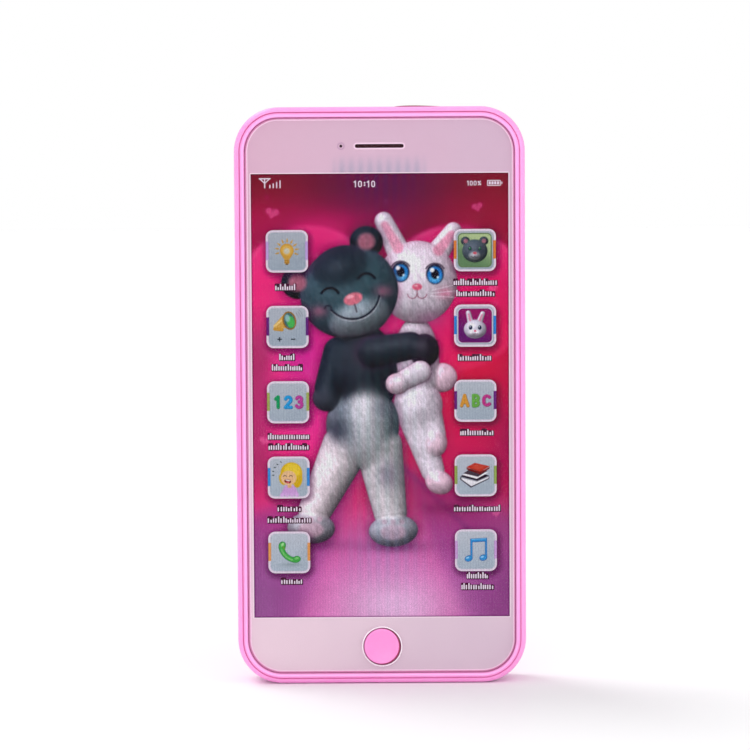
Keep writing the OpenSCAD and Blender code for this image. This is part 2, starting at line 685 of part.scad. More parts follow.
// lower right tag to the power switch
module black_battery_wire() color(black)
  wire([[cell_pitch, 2.86, 21.4], [cell_pitch + 2.4, 2.6, 19.6], [18.6, 1.2, 19.4],
    [22.6, -0.8, 24], [23.2, -2, 36], [23.6, -2.2, 50], [26, -1.9, 58.6],
    [switch_x, terminal_y, switch_z]]);
// power switch to the board
module switch_wire() color(black)
  wire([[switch_x, terminal_y, switch_z + terminal_pitch],
    [switch_x + 0.4, -1.8, switch_z + 6], [switch_x + 1.6, -0.4, 76], [27.2, 2.2, 83.5],
    [23.6, 3.2, 86.4], [22.6, 2.4, 86.6], [22.6, board_back_y, 86.6]]);
module speaker_wires() color([0.75, 0.75, 0.2]) for (side = [-1, 1])
  translate([-7.2 + 0.9 * side, 0, 0])
    wire([[0, 2.06, 104.8], [0, 1.9, 101.5], [-0.6, 2.7, 98.6], [-1, 2.8, 96.6],
      [-1, 2.2, 95.9], [-1, board_back_y, 95.9]]);
module torch_wires() color([0.85, 0.85, 0.85]) for (side = [-1, 1])
  let (lead_x = torch_x + side * 1.1, lead_y = led_y + 0.78, end_x = 19 + side * 0.7)
    wire([[lead_x, lead_y, case_h - 14.4], [lead_x, lead_y, case_h - 17.6],
      [15.4 + side * 0.8, 1.6, 121.5], [19 + side * 0.75, 1.8, 111],
      [19.4 + side * 0.7, 2.6, 100], [end_x, board_back_y + 1.0, 95.6],
      [end_x, board_back_y + 0.5, 95.6], [end_x, board_back_y, 95.6]]);
module button_wires() color([0.95, 0.95, 0.9]) for (side = [-1, 1])
  let (start_z = 12.8 - side * 0.9, run_x = -23.6 - side * 0.65)
    wire([[-5.6, button_board_back_y, start_z], [-5.6, button_board_back_y + 0.5, start_z],
      [-5.6, button_board_back_y + 1.0, start_z], [-13, 2.4, 15.8 - side * 0.7],
      [-20.4 - side * 0.5, 2.2, 18.6 - side * 0.5], [run_x + 0.2, 1.4, 26],
      [run_x, 1.2, 44], [run_x, 1.4, 66], [run_x, 3, 81], [run_x, 3, 86 + side * 0.9],
      [run_x, board_back_y, 86.4 + side * 0.9]]);

front_housing();
rear_cover();
lenticular_sheet();
printed_picture();
panel_adhesive();
touch_film();
touch_pads();
main_board();
music_chip();
resistors();
capacitors();
transistors();
board_screws();
home_button();
button_dome();
carbon_pill();
button_board();
switch_case();
switch_terminals();
switch_lever();
switch_knob();
speaker_basket();
speaker_yoke();
speaker_magnet();
pole_plate();
speaker_cone();
voice_coil();
speaker_gasket();
torch_lens();
torch_led();
torch_leads();
battery_cell_left();
battery_cell_middle();
battery_cell_right();
battery_springs();
contact_plates();
battery_cover();
battery_pad();
cover_screw();
screw_washer();
case_screws();
red_battery_wire();
black_battery_wire();
switch_wire();
speaker_wires();
torch_wires();
button_wires();
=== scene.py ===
"""Looks of the toy cell phone: moulded pink case, printed film under a clear ribbed sheet,
home button, torch, and the parts inside. It stands upright: X across, Z up, front facing -Y.
Lengths in the painting and mesh code are millimetres; Blender objects are metres."""

import json
import math

import bpy
import numpy as np
from mathutils import Matrix, Vector


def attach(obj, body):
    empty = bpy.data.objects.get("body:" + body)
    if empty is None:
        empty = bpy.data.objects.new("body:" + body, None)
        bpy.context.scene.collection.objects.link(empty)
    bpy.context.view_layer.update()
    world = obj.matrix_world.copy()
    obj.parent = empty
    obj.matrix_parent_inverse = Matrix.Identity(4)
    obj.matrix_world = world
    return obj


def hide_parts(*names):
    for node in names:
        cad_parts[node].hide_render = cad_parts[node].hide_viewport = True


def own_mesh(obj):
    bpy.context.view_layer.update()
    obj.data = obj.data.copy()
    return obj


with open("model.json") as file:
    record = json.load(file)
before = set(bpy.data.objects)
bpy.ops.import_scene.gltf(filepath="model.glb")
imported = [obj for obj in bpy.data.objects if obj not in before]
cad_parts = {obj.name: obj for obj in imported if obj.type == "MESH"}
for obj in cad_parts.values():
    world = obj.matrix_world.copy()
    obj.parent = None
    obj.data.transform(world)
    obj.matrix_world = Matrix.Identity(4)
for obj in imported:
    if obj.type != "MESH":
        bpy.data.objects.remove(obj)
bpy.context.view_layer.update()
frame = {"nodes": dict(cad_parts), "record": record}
nodes = frame["nodes"]

MM = 0.001
BUTTON_X, BUTTON_Z = 0.0, 9.35  # centre of the home button
FACE_Z = 72.8  # middle height of the face
PRINT_PITCH = 0.68  # fine upright lines in the print
BAND_PITCH = 2.35  # broad upright bands made by the ribbed sheet

# picture: edges on the film
PICTURE_HALF_X = 32.35
PICTURE_Z0, PICTURE_Z1 = 16.8, 128.95
# depths of the printed layers, from the back forward
Y_PICTURE, Y_ICON, Y_MARK_SHADOW, Y_MARK = -6.660, -6.668, -6.672, -6.678
# icon centres: left and right column, rows from the top down
ICON_X = (-23.38, 23.85)
ICON_Z = ((109.53, 90.50, 71.49, 52.43, 33.40), (109.55, 90.57, 71.60, 52.68, 33.67))

# ---------------------------------------------------------------- shader expressions


def to_linear(colour):
    """sRGB 0..255 to linear."""
    v = np.clip(colour, 0, 255) / 255
    return np.where(v <= 0.04045, v / 12.92, ((v + 0.055) / 1.055) ** 2.4)


def operation(kind, swap=False):
    """A method that adds a math node."""

    def apply(self, *others):
        values = (self, *others)
        return self.net.math(kind, *(values[::-1] if swap else values))

    return apply


class Value:
    """A node output that does arithmetic."""

    def __init__(self, net, socket):
        self.net, self.socket = net, socket

    __add__ = operation("ADD")
    __sub__ = operation("SUBTRACT")
    __rsub__ = operation("SUBTRACT", swap=True)
    __mul__ = operation("MULTIPLY")
    __truediv__ = operation("DIVIDE")
    abs = operation("ABSOLUTE")
    sin = operation("SINE")
    sqrt = operation("SQRT")
    max = operation("MAXIMUM")
    min = operation("MINIMUM")

    def clamp(self):
        return self.max(0.0).min(1.0)

    def stripes(self, pitch, wave="COSINE"):
        """Smooth stripes, 0..1, one per pitch."""
        return self.net.math(wave, self * (2 * math.pi / pitch)) * 0.5 + 0.5

    def ramp(self, start, end):
        """0 at start, 1 at end, smooth between."""
        node = self.net.new("ShaderNodeMapRange", interpolation_type="SMOOTHSTEP")
        self.net.put(node.inputs["Value"], self)
        rising = start < end
        node.inputs["From Min"].default_value = min(start, end)
        node.inputs["From Max"].default_value = max(start, end)
        node.inputs["To Min"].default_value = 0.0 if rising else 1.0
        node.inputs["To Max"].default_value = 1.0 if rising else 0.0
        return Value(self.net, node.outputs["Result"])


class Surface:
    """A material with a Principled surface, written as expressions in millimetres."""

    def __init__(self, name, rough=0.4, spec=0.5):
        self.material = bpy.data.materials.new(name)
        self.material.use_nodes = True
        self.tree = self.material.node_tree
        self.tree.nodes.clear()
        self.out = self.new("ShaderNodeOutputMaterial")
        self.bsdf = self.new("ShaderNodeBsdfPrincipled")
        self.link(self.bsdf.outputs[0], self.out.inputs[0])
        self.set("Roughness", rough)
        self.set("Specular IOR Level", spec)
        self.position = None
        self.normal = None
        self.colour = None

    def new(self, kind, **settings):
        node = self.tree.nodes.new(kind)
        for key, value in settings.items():
            setattr(node, key, value)
        return node

    def link(self, start, end):
        self.tree.links.new(start, end)

    def put(self, socket, v):
        if isinstance(v, Value):
            self.link(v.socket, socket)
        elif isinstance(v, (tuple, list)) and len(v) == 3 and socket.type == "RGBA":
            socket.default_value = (*to_linear(v), 1.0)
        else:
            socket.default_value = v

    def set(self, name, v):
        self.put(self.bsdf.inputs[name], v)

    def math(self, kind, *values):
        node = self.new("ShaderNodeMath", operation=kind)
        for socket, v in zip(node.inputs, values):
            self.put(socket, v)
        return Value(self, node.outputs[0])

    def pos(self):
        """Object coordinates in millimetres: the CAD frame at rest."""
        if self.position is None:
            coords = self.new("ShaderNodeTexCoord")
            scale = self.new("ShaderNodeVectorMath", operation="SCALE")
            self.link(coords.outputs["Object"], scale.inputs[0])
            scale.inputs["Scale"].default_value = 1000.0
            self.position = Value(self, scale.outputs[0])
        return self.position

    def xyz(self):
        node = self.new("ShaderNodeSeparateXYZ")
        self.put(node.inputs[0], self.pos())
        return [Value(self, o) for o in node.outputs]

    def vec(self, *parts):
        node = self.new("ShaderNodeCombineXYZ")
        for socket, v in zip(node.inputs, parts):
            self.put(socket, v)
        return Value(self, node.outputs[0])

    def noise(self, size, detail=2.0, rough=0.5, vec=None, dist=0.0):
        """Noise with features about size millimetres across, 0..1."""
        node = self.new("ShaderNodeTexNoise")
        self.put(node.inputs["Vector"], vec or self.pos())
        node.inputs["Scale"].default_value = 1.0 / size
        node.inputs["Detail"].default_value = detail
        node.inputs["Roughness"].default_value = rough
        node.inputs["Distortion"].default_value = dist
        return Value(self, node.outputs["Fac"])

    def cells(self, size, vec=None, metric="EUCLIDEAN"):
        """Distance to the nearest of points scattered about size millimetres apart."""
        node = self.new("ShaderNodeTexVoronoi", feature="F1", distance=metric)
        self.put(node.inputs["Vector"], vec or self.pos())
        node.inputs["Scale"].default_value = 1.0 / size
        return Value(self, node.outputs["Distance"])

    def mix(self, mask, under, over, blend="MIX"):
        node = self.new("ShaderNodeMix", data_type="RGBA", blend_type=blend)
        for index, v in ((0, mask), (6, under), (7, over)):
            self.put(node.inputs[index], v)
        return Value(self, node.outputs[2])

    def ground(self, mask, under, over, blend="MIX"):
        """Start the surface colour as a mix of two."""
        self.colour = self.mix(mask, under, over, blend)
        self.set("Base Color", self.colour)

    def lay(self, mask, over, blend="MIX"):
        """Lay a colour over the surface colour where the mask is 1."""
        self.ground(mask, self.colour, over, blend)

    def occlusion(self, distance, only_local=False):
        node = self.new("ShaderNodeAmbientOcclusion", samples=6, only_local=only_local)
        node.inputs["Distance"].default_value = distance * MM
        return Value(self, node.outputs["AO"])

    def bump(self, height, depth, strength):
        """Add relief over any relief already there."""
        node = self.new("ShaderNodeBump")
        node.inputs["Strength"].default_value = strength
        node.inputs["Distance"].default_value = depth * MM
        self.put(node.inputs["Height"], height)
        if self.normal is not None:
            self.link(self.normal, node.inputs["Normal"])
        self.normal = node.outputs[0]
        self.link(self.normal, self.bsdf.inputs["Normal"])

    def rounded(self, x, z, at_x, at_z, half_x, half_z, radius):
        """Signed distance to a rounded rectangle in X-Z, negative inside."""
        over_x = (x - at_x).abs() - (half_x - radius)
        over_z = (z - at_z).abs() - (half_z - radius)
        out_x, out_z = over_x.max(0.0), over_z.max(0.0)
        return (out_x * out_x + out_z * out_z).sqrt() + over_x.max(over_z).min(0.0) - radius

    def circle(self, x, z, at_x, at_z, radius=0.0):
        """Signed distance to a circle."""
        off_x, off_z = x - at_x, z - at_z
        return (off_x * off_x + off_z * off_z).sqrt() - radius


# ---------------------------------------------------------------- materials


def case_rim_highlight_and_shade(mat, deep):
    """Front rim of the case: painted shade in the groove band, lighter to the right and darker at the
    top, a painted highlight on the crest, then painted shade in the well the sheet lies in.
    """
    x, y, z = mat.xyz()
    inset = mat.rounded(x, z, 0.0, FACE_Z, 36.5, FACE_Z, 11.2) * -1.0
    front = y.ramp(-5.2, -6.2)
    # painted shade in the groove, lighter to the right and darker at the top
    band = front * inset.ramp(1.05, 1.30) * inset.ramp(1.62, 1.42)
    mat.lay(band * (x.ramp(8.0, 36.0) * -0.22 + z.ramp(138.0, 143.5) * 0.3 + 0.34), deep)
    # painted highlight on the crest of the bead
    crest = front * (inset - 2.2).abs().ramp(0.42, 0.05)
    mat.lay(crest * 0.7, (255, 184, 240))
    # painted shade in the well the sheet lies in
    well = front * inset.ramp(2.48, 2.62)
    mat.lay(well * 0.7, (200, 100, 156))


def button_rim_shade(mat, deep):
    """A dark line of painted shade round the button's rim, with a painted shadow crescent low on its
    right-hand side.
    """
    x, y, z = mat.xyz()
    off = mat.circle(x, z, BUTTON_X, BUTTON_Z)
    # painted shade in the gap round the rim
    mat.lay(off.ramp(4.40, 4.52) * off.ramp(6.4, 6.3) * 0.35, (190, 60, 120))
    # painted shadow crescent, low on the right-hand side away from the light
    crescent = mat.circle(x, z, -0.26, 9.47).ramp(4.42, 4.54) * y.ramp(-1.0, -2.0)
    mat.lay(crescent * 0.92, (150, 20, 70))


def pink_abs(name, main, deep, light, marks, rough=0.34):
    """Satin moulded ABS: slight translucency, moulding mottle, fine grain, painted highlight and shade
    on the rim, painted shade in recesses, scuffs.
    """
    mat = Surface(name, rough, spec=0.42)
    x, y, z = mat.xyz()
    cloud = mat.noise(9.0, detail=3.0, rough=0.55)
    fine = mat.noise(0.55, rough=0.6)
    mat.ground(cloud.ramp(0.3, 0.7) * 0.30, main, light)
    mat.lay(fine.ramp(0.52, 0.8) * 0.10, deep)
    # painted highlight and shade round the rim
    marks(mat, deep)
    # painted shade in recesses, from an occlusion node
    mat.lay(mat.occlusion(1.6, only_local=True).ramp(0.75, 0.2) * 0.55, deep)
    # hairline scuffs from handling, in patches
    turned = mat.vec(x * 0.9 + z * 0.35, y, z * 0.08 - x * 0.2)
    hairs = mat.noise(0.22, detail=1.0, vec=turned).ramp(0.70, 0.78)
    scuff = hairs * mat.noise(14.0).ramp(0.52, 0.7)
    mat.lay(scuff * 0.22, light)
    mat.set("Roughness", mat.noise(3.0, detail=3.0) * 0.10 + scuff * 0.12 + (rough - 0.05))
    mat.set("Subsurface Weight", 0.12)
    mat.set("Subsurface Radius", (1.0, 0.45, 0.75))
    mat.set("Subsurface Scale", 0.0012)
    mat.set("Coat Weight", 0.12)
    mat.set("Coat Roughness", 0.25)
    mat.bump(mat.noise(0.16, rough=0.6), depth=0.006, strength=0.5)
    mat.bump(mat.noise(7.0, detail=1.0), depth=0.05, strength=0.5)
    return mat.material


def printed_film():
    """The film's border: pale mauve print, painted highlights along cut edges, painted shade in the gap
    at the rim, and earpiece and camera marks painted dark as painted shade in their holes.
    """
    outline = (255, 222, 242)
    mat = Surface("printed_film", rough=0.5, spec=0.08)
    x, y, z = mat.xyz()
    mat.ground(z.ramp(14.0, 130.0), (237, 212, 223), (221, 181, 202))
    mat.lay(mat.noise(26.0).ramp(0.35, 0.7) * 0.35, (214, 187, 206))
    mat.lay(x.ramp(-36.0, 30.0) * 0.35, (205, 185, 204))
    # bluish, greenish streaks seen through the ribs above the picture
    streak = x.stripes(BAND_PITCH) * x.abs().ramp(12.4, 10.6)
    near = z.ramp(134.4, 129.4) * z.ramp(120.0, 128.0)
    mat.lay(streak * near * 0.26, (96, 140, 160))
    mat.lay(x.abs().ramp(13.0, 9.0) * near * 0.24, (150, 160, 186))
    # sheet edge: painted highlight along its cut edge, then painted shade in the gap at its rim
    edge = mat.rounded(x, z, 0.05, FACE_Z, 33.75, 70.05, 8.45)
    mat.lay(edge.ramp(-0.66, -0.56), outline)
    mat.lay(edge.ramp(-0.36, -0.24), (228, 150, 194))
    # line round the picture
    picture_edge = mat.rounded(x, z, 0.0, 72.875, PICTURE_HALF_X, 56.075, 0.1)
    mat.lay(picture_edge.ramp(0.34, 0.12), (250, 228, 240))
    # earpiece: painted highlight round the rim of the slot, and the slot painted dark as painted shade
    # inside it
    ear = mat.rounded(x, z, 0.0, 135.8, 6.08, 0.43, 0.43)
    mat.lay(ear.ramp(0.52, 0.30) * 0.85, outline)
    mat.lay(ear.ramp(0.10, 0.0), (44, 2, 10))
    # camera: ring, and a dot painted dark as painted shade inside it
    camera_off = mat.circle(x, z, -9.63, 135.8)
    mat.lay((camera_off - 0.80).abs().ramp(0.30, 0.06) * 0.40, (160, 116, 160))
    mat.lay(camera_off.ramp(0.46, 0.30), (44, 6, 26))
    # painted highlight round the cut edge of the button hole
    button_off = mat.circle(x, z, BUTTON_X, BUTTON_Z, radius=5.06)
    mat.lay(button_off.abs().ramp(0.22, 0.08) * 0.8, outline)
    grain = mat.noise(0.12, detail=1.0)
    mat.lay(grain.ramp(0.45, 0.8) * 0.06, (180, 150, 180))
    mat.bump(grain, depth=0.002, strength=0.3)
    return mat.material


def painted_print():
    """Printed picture: colours painted on the mesh, broken up by grain and fine upright lines."""
    mat = Surface("painted_print", rough=0.5, spec=0.06)
    paint = mat.new("ShaderNodeVertexColor", layer_name="Paint")
    x, y, z = mat.xyz()
    mat.colour = Value(mat, paint.outputs[0])
    lines = x.stripes(PRINT_PITCH)
    grain = mat.noise(0.16, rough=0.7)
    mat.lay(grain.ramp(0.75, 0.3), (210, 210, 212), "MULTIPLY")
    mat.lay(lines * 0.6, (238, 238, 240), "MULTIPLY")
    mat.bump(grain, depth=0.002, strength=0.3)
    return mat.material


def ribbed_sheet():
    """Clear ribbed sheet: lets the print show, with a milky veil, soft reflections and a painted
    highlight round the button hole's cut edge.
    """
    mat = Surface("ribbed_sheet", rough=0.28, spec=0.5)
    x, y, z = mat.xyz()
    mat.ground(mat.noise(20.0), (255, 240, 249), (250, 232, 245))
    mat.set("Roughness", mat.noise(5.0) * 0.12 + 0.22)
    clear = mat.new("ShaderNodeBsdfTransparent")
    cloud = mat.noise(0.4, detail=1.0) * 0.4
    mat.put(clear.inputs[0], mat.mix(cloud, (252, 252, 252), (246, 247, 248)))
    glance = mat.new("ShaderNodeLayerWeight")
    glance.inputs[0].default_value = 0.22
    veil = Value(mat, glance.outputs["Fresnel"]) * 0.22 + 0.001
    dust_and_edge_highlight = mat.noise(0.5, detail=1.0).ramp(0.78, 0.84) * 0.03
    # painted highlight along the cut edge of the hole
    hole = mat.circle(x, z, BUTTON_X, BUTTON_Z, radius=4.8).ramp(0.42, 0.26)
    dust_and_edge_highlight = dust_and_edge_highlight + hole * 0.8
    mixer = mat.new("ShaderNodeMixShader")
    mat.put(mixer.inputs[0], (veil + dust_and_edge_highlight).clamp())
    mat.link(clear.outputs[0], mixer.inputs[1])
    mat.link(mat.bsdf.outputs[0], mixer.inputs[2])
    mat.link(mixer.outputs[0], mat.out.inputs[0])
    return mat.material


def board_green():
    """Green solder mask with paler tracks and ringed vias."""
    mat = Surface("board_green", rough=0.3, spec=0.5)
    x, y, z = mat.xyz()
    squares = mat.cells(3.1, vec=mat.vec(x, 0.0, z), metric="CHEBYCHEV")
    tracks = (squares * 9.0).sin().ramp(0.35, 0.75)
    mat.ground(mat.noise(4.0, detail=3.0) * 0.5, (8, 74, 34), (12, 92, 44))
    mat.lay(tracks * 0.6, (30, 128, 62))
    via = mat.cells(2.6, vec=mat.vec(x + 0.7, 0.0, z + 0.4))
    ring = (via - 0.16).abs().ramp(0.07, 0.02)
    mat.lay(ring, (206, 204, 196))
    mat.lay(via.ramp(0.10, 0.05), (20, 24, 20))
    mat.set("Metallic", ring * 0.8)
    mat.bump(tracks + ring, depth=0.03, strength=0.6)
    mat.bump(mat.noise(0.3), depth=0.004, strength=0.4)
    return mat.material


def metal(name, light, dark, rough, stretch, scratch=0.25):
    """Plated metal with fine lines, dull spots and painted shade in recesses; stretch scales x, y, z in
    the lines.
    """
    mat = Surface(name, rough, spec=0.5)
    drawn = mat.vec(*(axis * factor for axis, factor in zip(mat.xyz(), stretch)))
    lines = mat.noise(1.6, rough=0.6, vec=drawn)
    spots = mat.noise(1.3, detail=3.0, rough=0.6)
    mat.ground(lines.ramp(0.35, 0.7) * scratch, light, dark)
    mat.lay(spots.ramp(0.58, 0.8) * 0.35, dark)
    # painted shade in creases and recesses, from an occlusion node
    mat.lay(mat.occlusion(0.8).ramp(0.8, 0.25) * 0.8, (28, 27, 28))
    mat.set("Metallic", 1.0)
    mat.set("Roughness", lines * 0.16 + spots * 0.12 + (rough - 0.1))
    mat.bump(lines, depth=0.004, strength=0.6)
    return mat.material


# name: colour, second colour, roughness, grain size, grain depth, specular, subsurface
PLASTICS = {
    "black_epoxy": ((14, 14, 16), (30, 30, 33), 0.22, 0.8, 0.02, 0.5, 0),
    "black_plastic": ((24, 24, 26), (44, 44, 48), 0.5, 0.2, 0.012, 0.4, 0),
    "silicone": ((214, 216, 220), (234, 234, 238), 0.5, 0.5, 0.01, 0.35, 0.3),
    "carbon_rubber": ((20, 20, 20), (38, 38, 38), 0.85, 0.15, 0.02, 0.2, 0),
    "wire_red": ((176, 22, 22), (204, 46, 38), 0.36, 0.5, 0.006, 0.4, 0),
    "wire_black": ((20, 20, 22), (40, 40, 44), 0.36, 0.5, 0.006, 0.4, 0),
    "wire_yellow": ((216, 184, 46), (236, 208, 80), 0.36, 0.5, 0.006, 0.4, 0),
    "wire_white": ((214, 214, 208), (236, 236, 230), 0.36, 0.5, 0.006, 0.4, 0),
}


def plastic(name, first, second, rough, size, depth, spec, subsurface):
    """Small moulded or extruded plastic piece with mottled colour, fine grain and painted shade in
    recesses.
    """
    mat = Surface(name, rough, spec)
    mat.ground(mat.noise(2.2, detail=3.0).ramp(0.3, 0.7), first, second)
    grain = mat.noise(size, rough=0.6)
    mat.lay(grain.ramp(0.6, 0.85) * 0.25, second)
    # painted shade in recesses, from an occlusion node
    shade = tuple(v * 0.3 for v in first)
    mat.lay(mat.occlusion(0.8).ramp(0.8, 0.2) * 0.5, shade)
    mat.set("Roughness", mat.noise(1.0) * 0.16 + rough - 0.08)
    if subsurface:
        mat.set("Subsurface Weight", subsurface)
        mat.set("Subsurface Scale", 0.001)
    mat.bump(grain, depth, strength=0.7)
    return mat.material


def resistor():
    """Lacquered bodies with colour bands and bare tips."""
    mat = Surface("resistor_bands", rough=0.3, spec=0.5)
    x, y, z = mat.xyz()
    mat.ground(mat.noise(0.5), (196, 160, 104), (216, 184, 132))
    bands = ((88.7, (150, 60, 20)), (89.3, (30, 26, 24)), (89.9, (190, 40, 30)), (90.7, (190, 150, 60)))
    for height, colour in bands:
        mat.lay((z - height).abs().ramp(0.2, 0.12), colour)
    tips = (z - 89.6).abs().ramp(1.62, 1.75)
    mat.lay(tips, (200, 198, 192))
    mat.set("Metallic", tips)
    mat.bump(mat.noise(0.4), depth=0.01, strength=0.6)
    return mat.material


def capacitor():
    """Sleeved can with a pale stripe, tan discs and bare legs."""
    mat = Surface("capacitor_sleeve", rough=0.3, spec=0.5)
    x, y, z = mat.xyz()
    can = x.ramp(-15.0, -15.4)
    mat.ground(mat.noise(1.0) * 0.6, (28, 36, 92), (44, 56, 130))
    mat.lay((x + 18.6).abs().ramp(0.5, 0.35), (196, 202, 220))
    mat.lay((z - 92.2).abs().ramp(0.35, 0.25), (190, 190, 194))
    disc = mat.mix(mat.noise(0.4, detail=3.0), (196, 122, 52), (214, 146, 78))
    mat.ground(can, disc, mat.colour)
    mat.lay(y.ramp(2.0, 1.8), (200, 200, 200))
    mat.bump(mat.noise(0.3), depth=0.015, strength=0.7)
    return mat.material


def amber_film():
    """Amber film with printed tracks."""
    mat = Surface("amber_film", rough=0.3, spec=0.5)
    x, y, z = mat.xyz()
    mat.ground(mat.noise(6.0, detail=3.0), (190, 116, 44), (214, 146, 74))
    tracks = (x * 3.4).sin().ramp(0.6, 0.9) * mat.noise(20.0, detail=1.0).ramp(0.4, 0.5)
    mat.lay(tracks * 0.7, (70, 46, 30))
    mat.bump(tracks, depth=0.01, strength=0.5)
    return mat.material


def carbon_ink():
    """Black ink printed in a fine mesh."""
    mat = Surface("carbon_ink", rough=0.7, spec=0.3)
    x, y, z = mat.xyz()
    mesh = ((x * 4.2).sin() * (z * 4.2).sin()).abs()
    mat.ground(mesh.ramp(0.0, 0.4), (58, 54, 52), (26, 24, 24))
    mat.bump(mesh + mat.noise(0.2), depth=0.01, strength=0.6)
    return mat.material


def tape_paper():
    mat = Surface("tape_paper", rough=0.75, spec=0.25)
    fibres = mat.noise(0.5, detail=4.0, rough=0.7, dist=1.5)
    mat.ground(fibres, (232, 230, 222), (246, 245, 240))
    mat.bump(fibres, depth=0.02, strength=0.7)
    return mat.material


def cone_paper():
    """Pressed paper cone: fibres and pressed rings."""
    mat = Surface("cone_paper", rough=0.85, spec=0.2)
    x, y, z = mat.xyz()
    radius = mat.circle(x, z, 0.0, 112.0)
    fibres = mat.noise(0.45, detail=4.0, rough=0.75, dist=2.0)
    mat.ground(fibres, (28, 25, 23), (62, 56, 50))
    mat.lay((radius * 2.6).sin().ramp(0.7, 1.0) * 0.4, (84, 76, 68))
    mat.bump(fibres + (radius * 2.6).sin() * 0.6, depth=0.05, strength=0.8)
    return mat.material


def copper_winding():
    """Enamelled winding, each turn painted bright on its crest and dark between turns as painted
    highlight and shade.
    """
    mat = Surface("copper_winding", rough=0.3, spec=0.5)
    x, y, z = mat.xyz()
    turns = y.stripes(0.13, "SINE")
    # painted highlight on each turn's crest and painted shade between turns
    mat.ground(turns, (92, 40, 18), (206, 118, 66))
    mat.set("Metallic", 0.9)
    mat.bump(turns, depth=0.04, strength=0.9)
    return mat.material


def foam():
    """Closed-cell foam."""
    mat = Surface("foam", rough=0.95, spec=0.1)
    small = mat.cells(0.42).ramp(0.05, 0.55)
    big = mat.cells(1.1).ramp(0.05, 0.5)
    mat.ground(small * 0.6 + big * 0.3, (16, 16, 18), (64, 64, 68))
    mat.bump(small + big, depth=0.12, strength=1.0)
    return mat.material


def torch_red():
    """Torch window: dark clear red, ribbed; glossier seen flat-on than along the surface."""
    mat = Surface("torch_red", rough=0.3, spec=0.18)
    x, y, z = mat.xyz()
    rib = x.stripes(0.7, "SINE")
    mat.ground(rib * 0.5 + mat.noise(1.5) * 0.4, (124, 6, 36), (152, 16, 56))
    weight = mat.new("ShaderNodeLayerWeight")
    weight.inputs[0].default_value = 0.5
    square_on = Value(mat, weight.outputs["Facing"]).ramp(0.9, 0.4)
    mat.set("Specular IOR Level", square_on * 0.14)
    mat.set("Roughness", square_on * -0.25 + 0.75)
    mat.bump(rib, depth=0.02, strength=0.35)
    return mat.material


def led_resin():
    """Clear resin round a yellow chip."""
    mat = Surface("led_resin", rough=0.1, spec=0.6)
    x, y, z = mat.xyz()
    chip = mat.circle(x, y, 10.2, 0.95).ramp(0.8, 0.4) * z.ramp(134.4, 133.6)
    mat.ground(mat.noise(0.8) * 0.5, (236, 240, 244), (214, 222, 232))
    mat.lay(chip, (236, 214, 90))
    mat.set("Transmission Weight", 0.6)
    mat.bump(mat.noise(0.8, detail=1.0), depth=0.01, strength=0.4)
    return mat.material


def cell(name, at_x, low, high, upright):
    """Printed sleeve of a battery cell: dark body, pale bands, bare metal ends."""
    mat = Surface(name, rough=0.22, spec=0.55)
    x, y, z = mat.xyz()
    along = (z - low) / (high - low)
    if not upright:
        along = 1.0 - along
    mat.ground(mat.noise(3.0) * 0.4, (34, 62, 104), (46, 82, 130))
    mat.lay(along.ramp(0.78, 0.785), (190, 196, 204))
    mat.lay((along - 0.74).abs().ramp(0.012, 0.008), (236, 238, 240))
    mat.lay((along - 0.07).abs().ramp(0.02, 0.016), (190, 196, 204))
    # slanted bars round the body
    bars = ((x - at_x) * 0.55 + z * 0.9).sin().ramp(0.72, 0.8)
    bars = bars * along.ramp(0.12, 0.13) * along.ramp(0.66, 0.65)
    mat.lay(bars * 0.85, (226, 230, 226))
    radius = mat.circle(x, y, at_x, 1.0)
    ends = radius.ramp(4.95, 4.7) + along.ramp(1.0, 1.004) + along.ramp(0.0, -0.004)
    ends = ends.clamp()
    mat.lay(ends, (204, 205, 206))
    mat.set("Metallic", ends * 0.95)
    mat.set("Roughness", mat.noise(1.5) * 0.14 + 0.16 + ends * 0.1)
    mat.bump(mat.noise(0.35), depth=0.005, strength=0.4)
    seam = ((x - at_x) - 1.9).abs().ramp(0.12, 0.04) * y.ramp(1.0, 2.0)
    mat.bump(seam, depth=0.03, strength=0.6)
    return mat.material


def make_materials():
    """All materials by slot name."""
    even, upright = (3.0, 3.0, 3.0), (9.0, 9.0, 0.5)
    mats = {
        "pink_case": pink_abs(
            "pink_abs_case", (252, 158, 221), (218, 86, 158), (253, 176, 231), case_rim_highlight_and_shade
        ),
        "pink_button": pink_abs(
            "pink_abs_button", (248, 146, 212), (208, 74, 150), (251, 164, 222), button_rim_shade,
            rough=0.38,
        ),
        "print": printed_film(),
        "paint": painted_print(),
        "ribbed_sheet": ribbed_sheet(),
        "board_green": board_green(),
        "steel": metal("zinc_steel", (198, 199, 204), (120, 122, 128), 0.34, even),
        "tinned_metal": metal("nickel_strip", (214, 212, 206), (136, 132, 124), 0.28, upright),
        "magnet_metal": metal(
            "magnet_nickel", (176, 176, 180), (96, 96, 100), 0.3, even, scratch=0.4
        ),
    }
    for name, look in PLASTICS.items():
        mats[name] = plastic(name, *look)
    mats["resistor_tan"] = resistor()
    mats["capacitor_blue"] = capacitor()
    mats["amber_film"] = amber_film()
    mats["carbon_ink"] = carbon_ink()
    mats["white_tape"] = tape_paper()
    mats["cone_paper"] = cone_paper()
    mats["copper"] = copper_winding()
    mats["foam"] = foam()
    mats["torch_red"] = torch_red()
    mats["led_clear"] = led_resin()
    mats["cell_left"] = cell("cell_left", -10.9, 30.1, 73.4, upright=True)
    mats["cell_middle"] = cell("cell_middle", 0.0, 25.6, 68.9, upright=False)
    mats["cell_right"] = cell("cell_right", 10.9, 30.1, 73.4, upright=True)
    return mats


MATS = make_materials()

# ---------------------------------------------------------------- CAD pieces

SLOTS = {s["node"]: s["material_slot"] for s in frame["record"]["subparts"]}
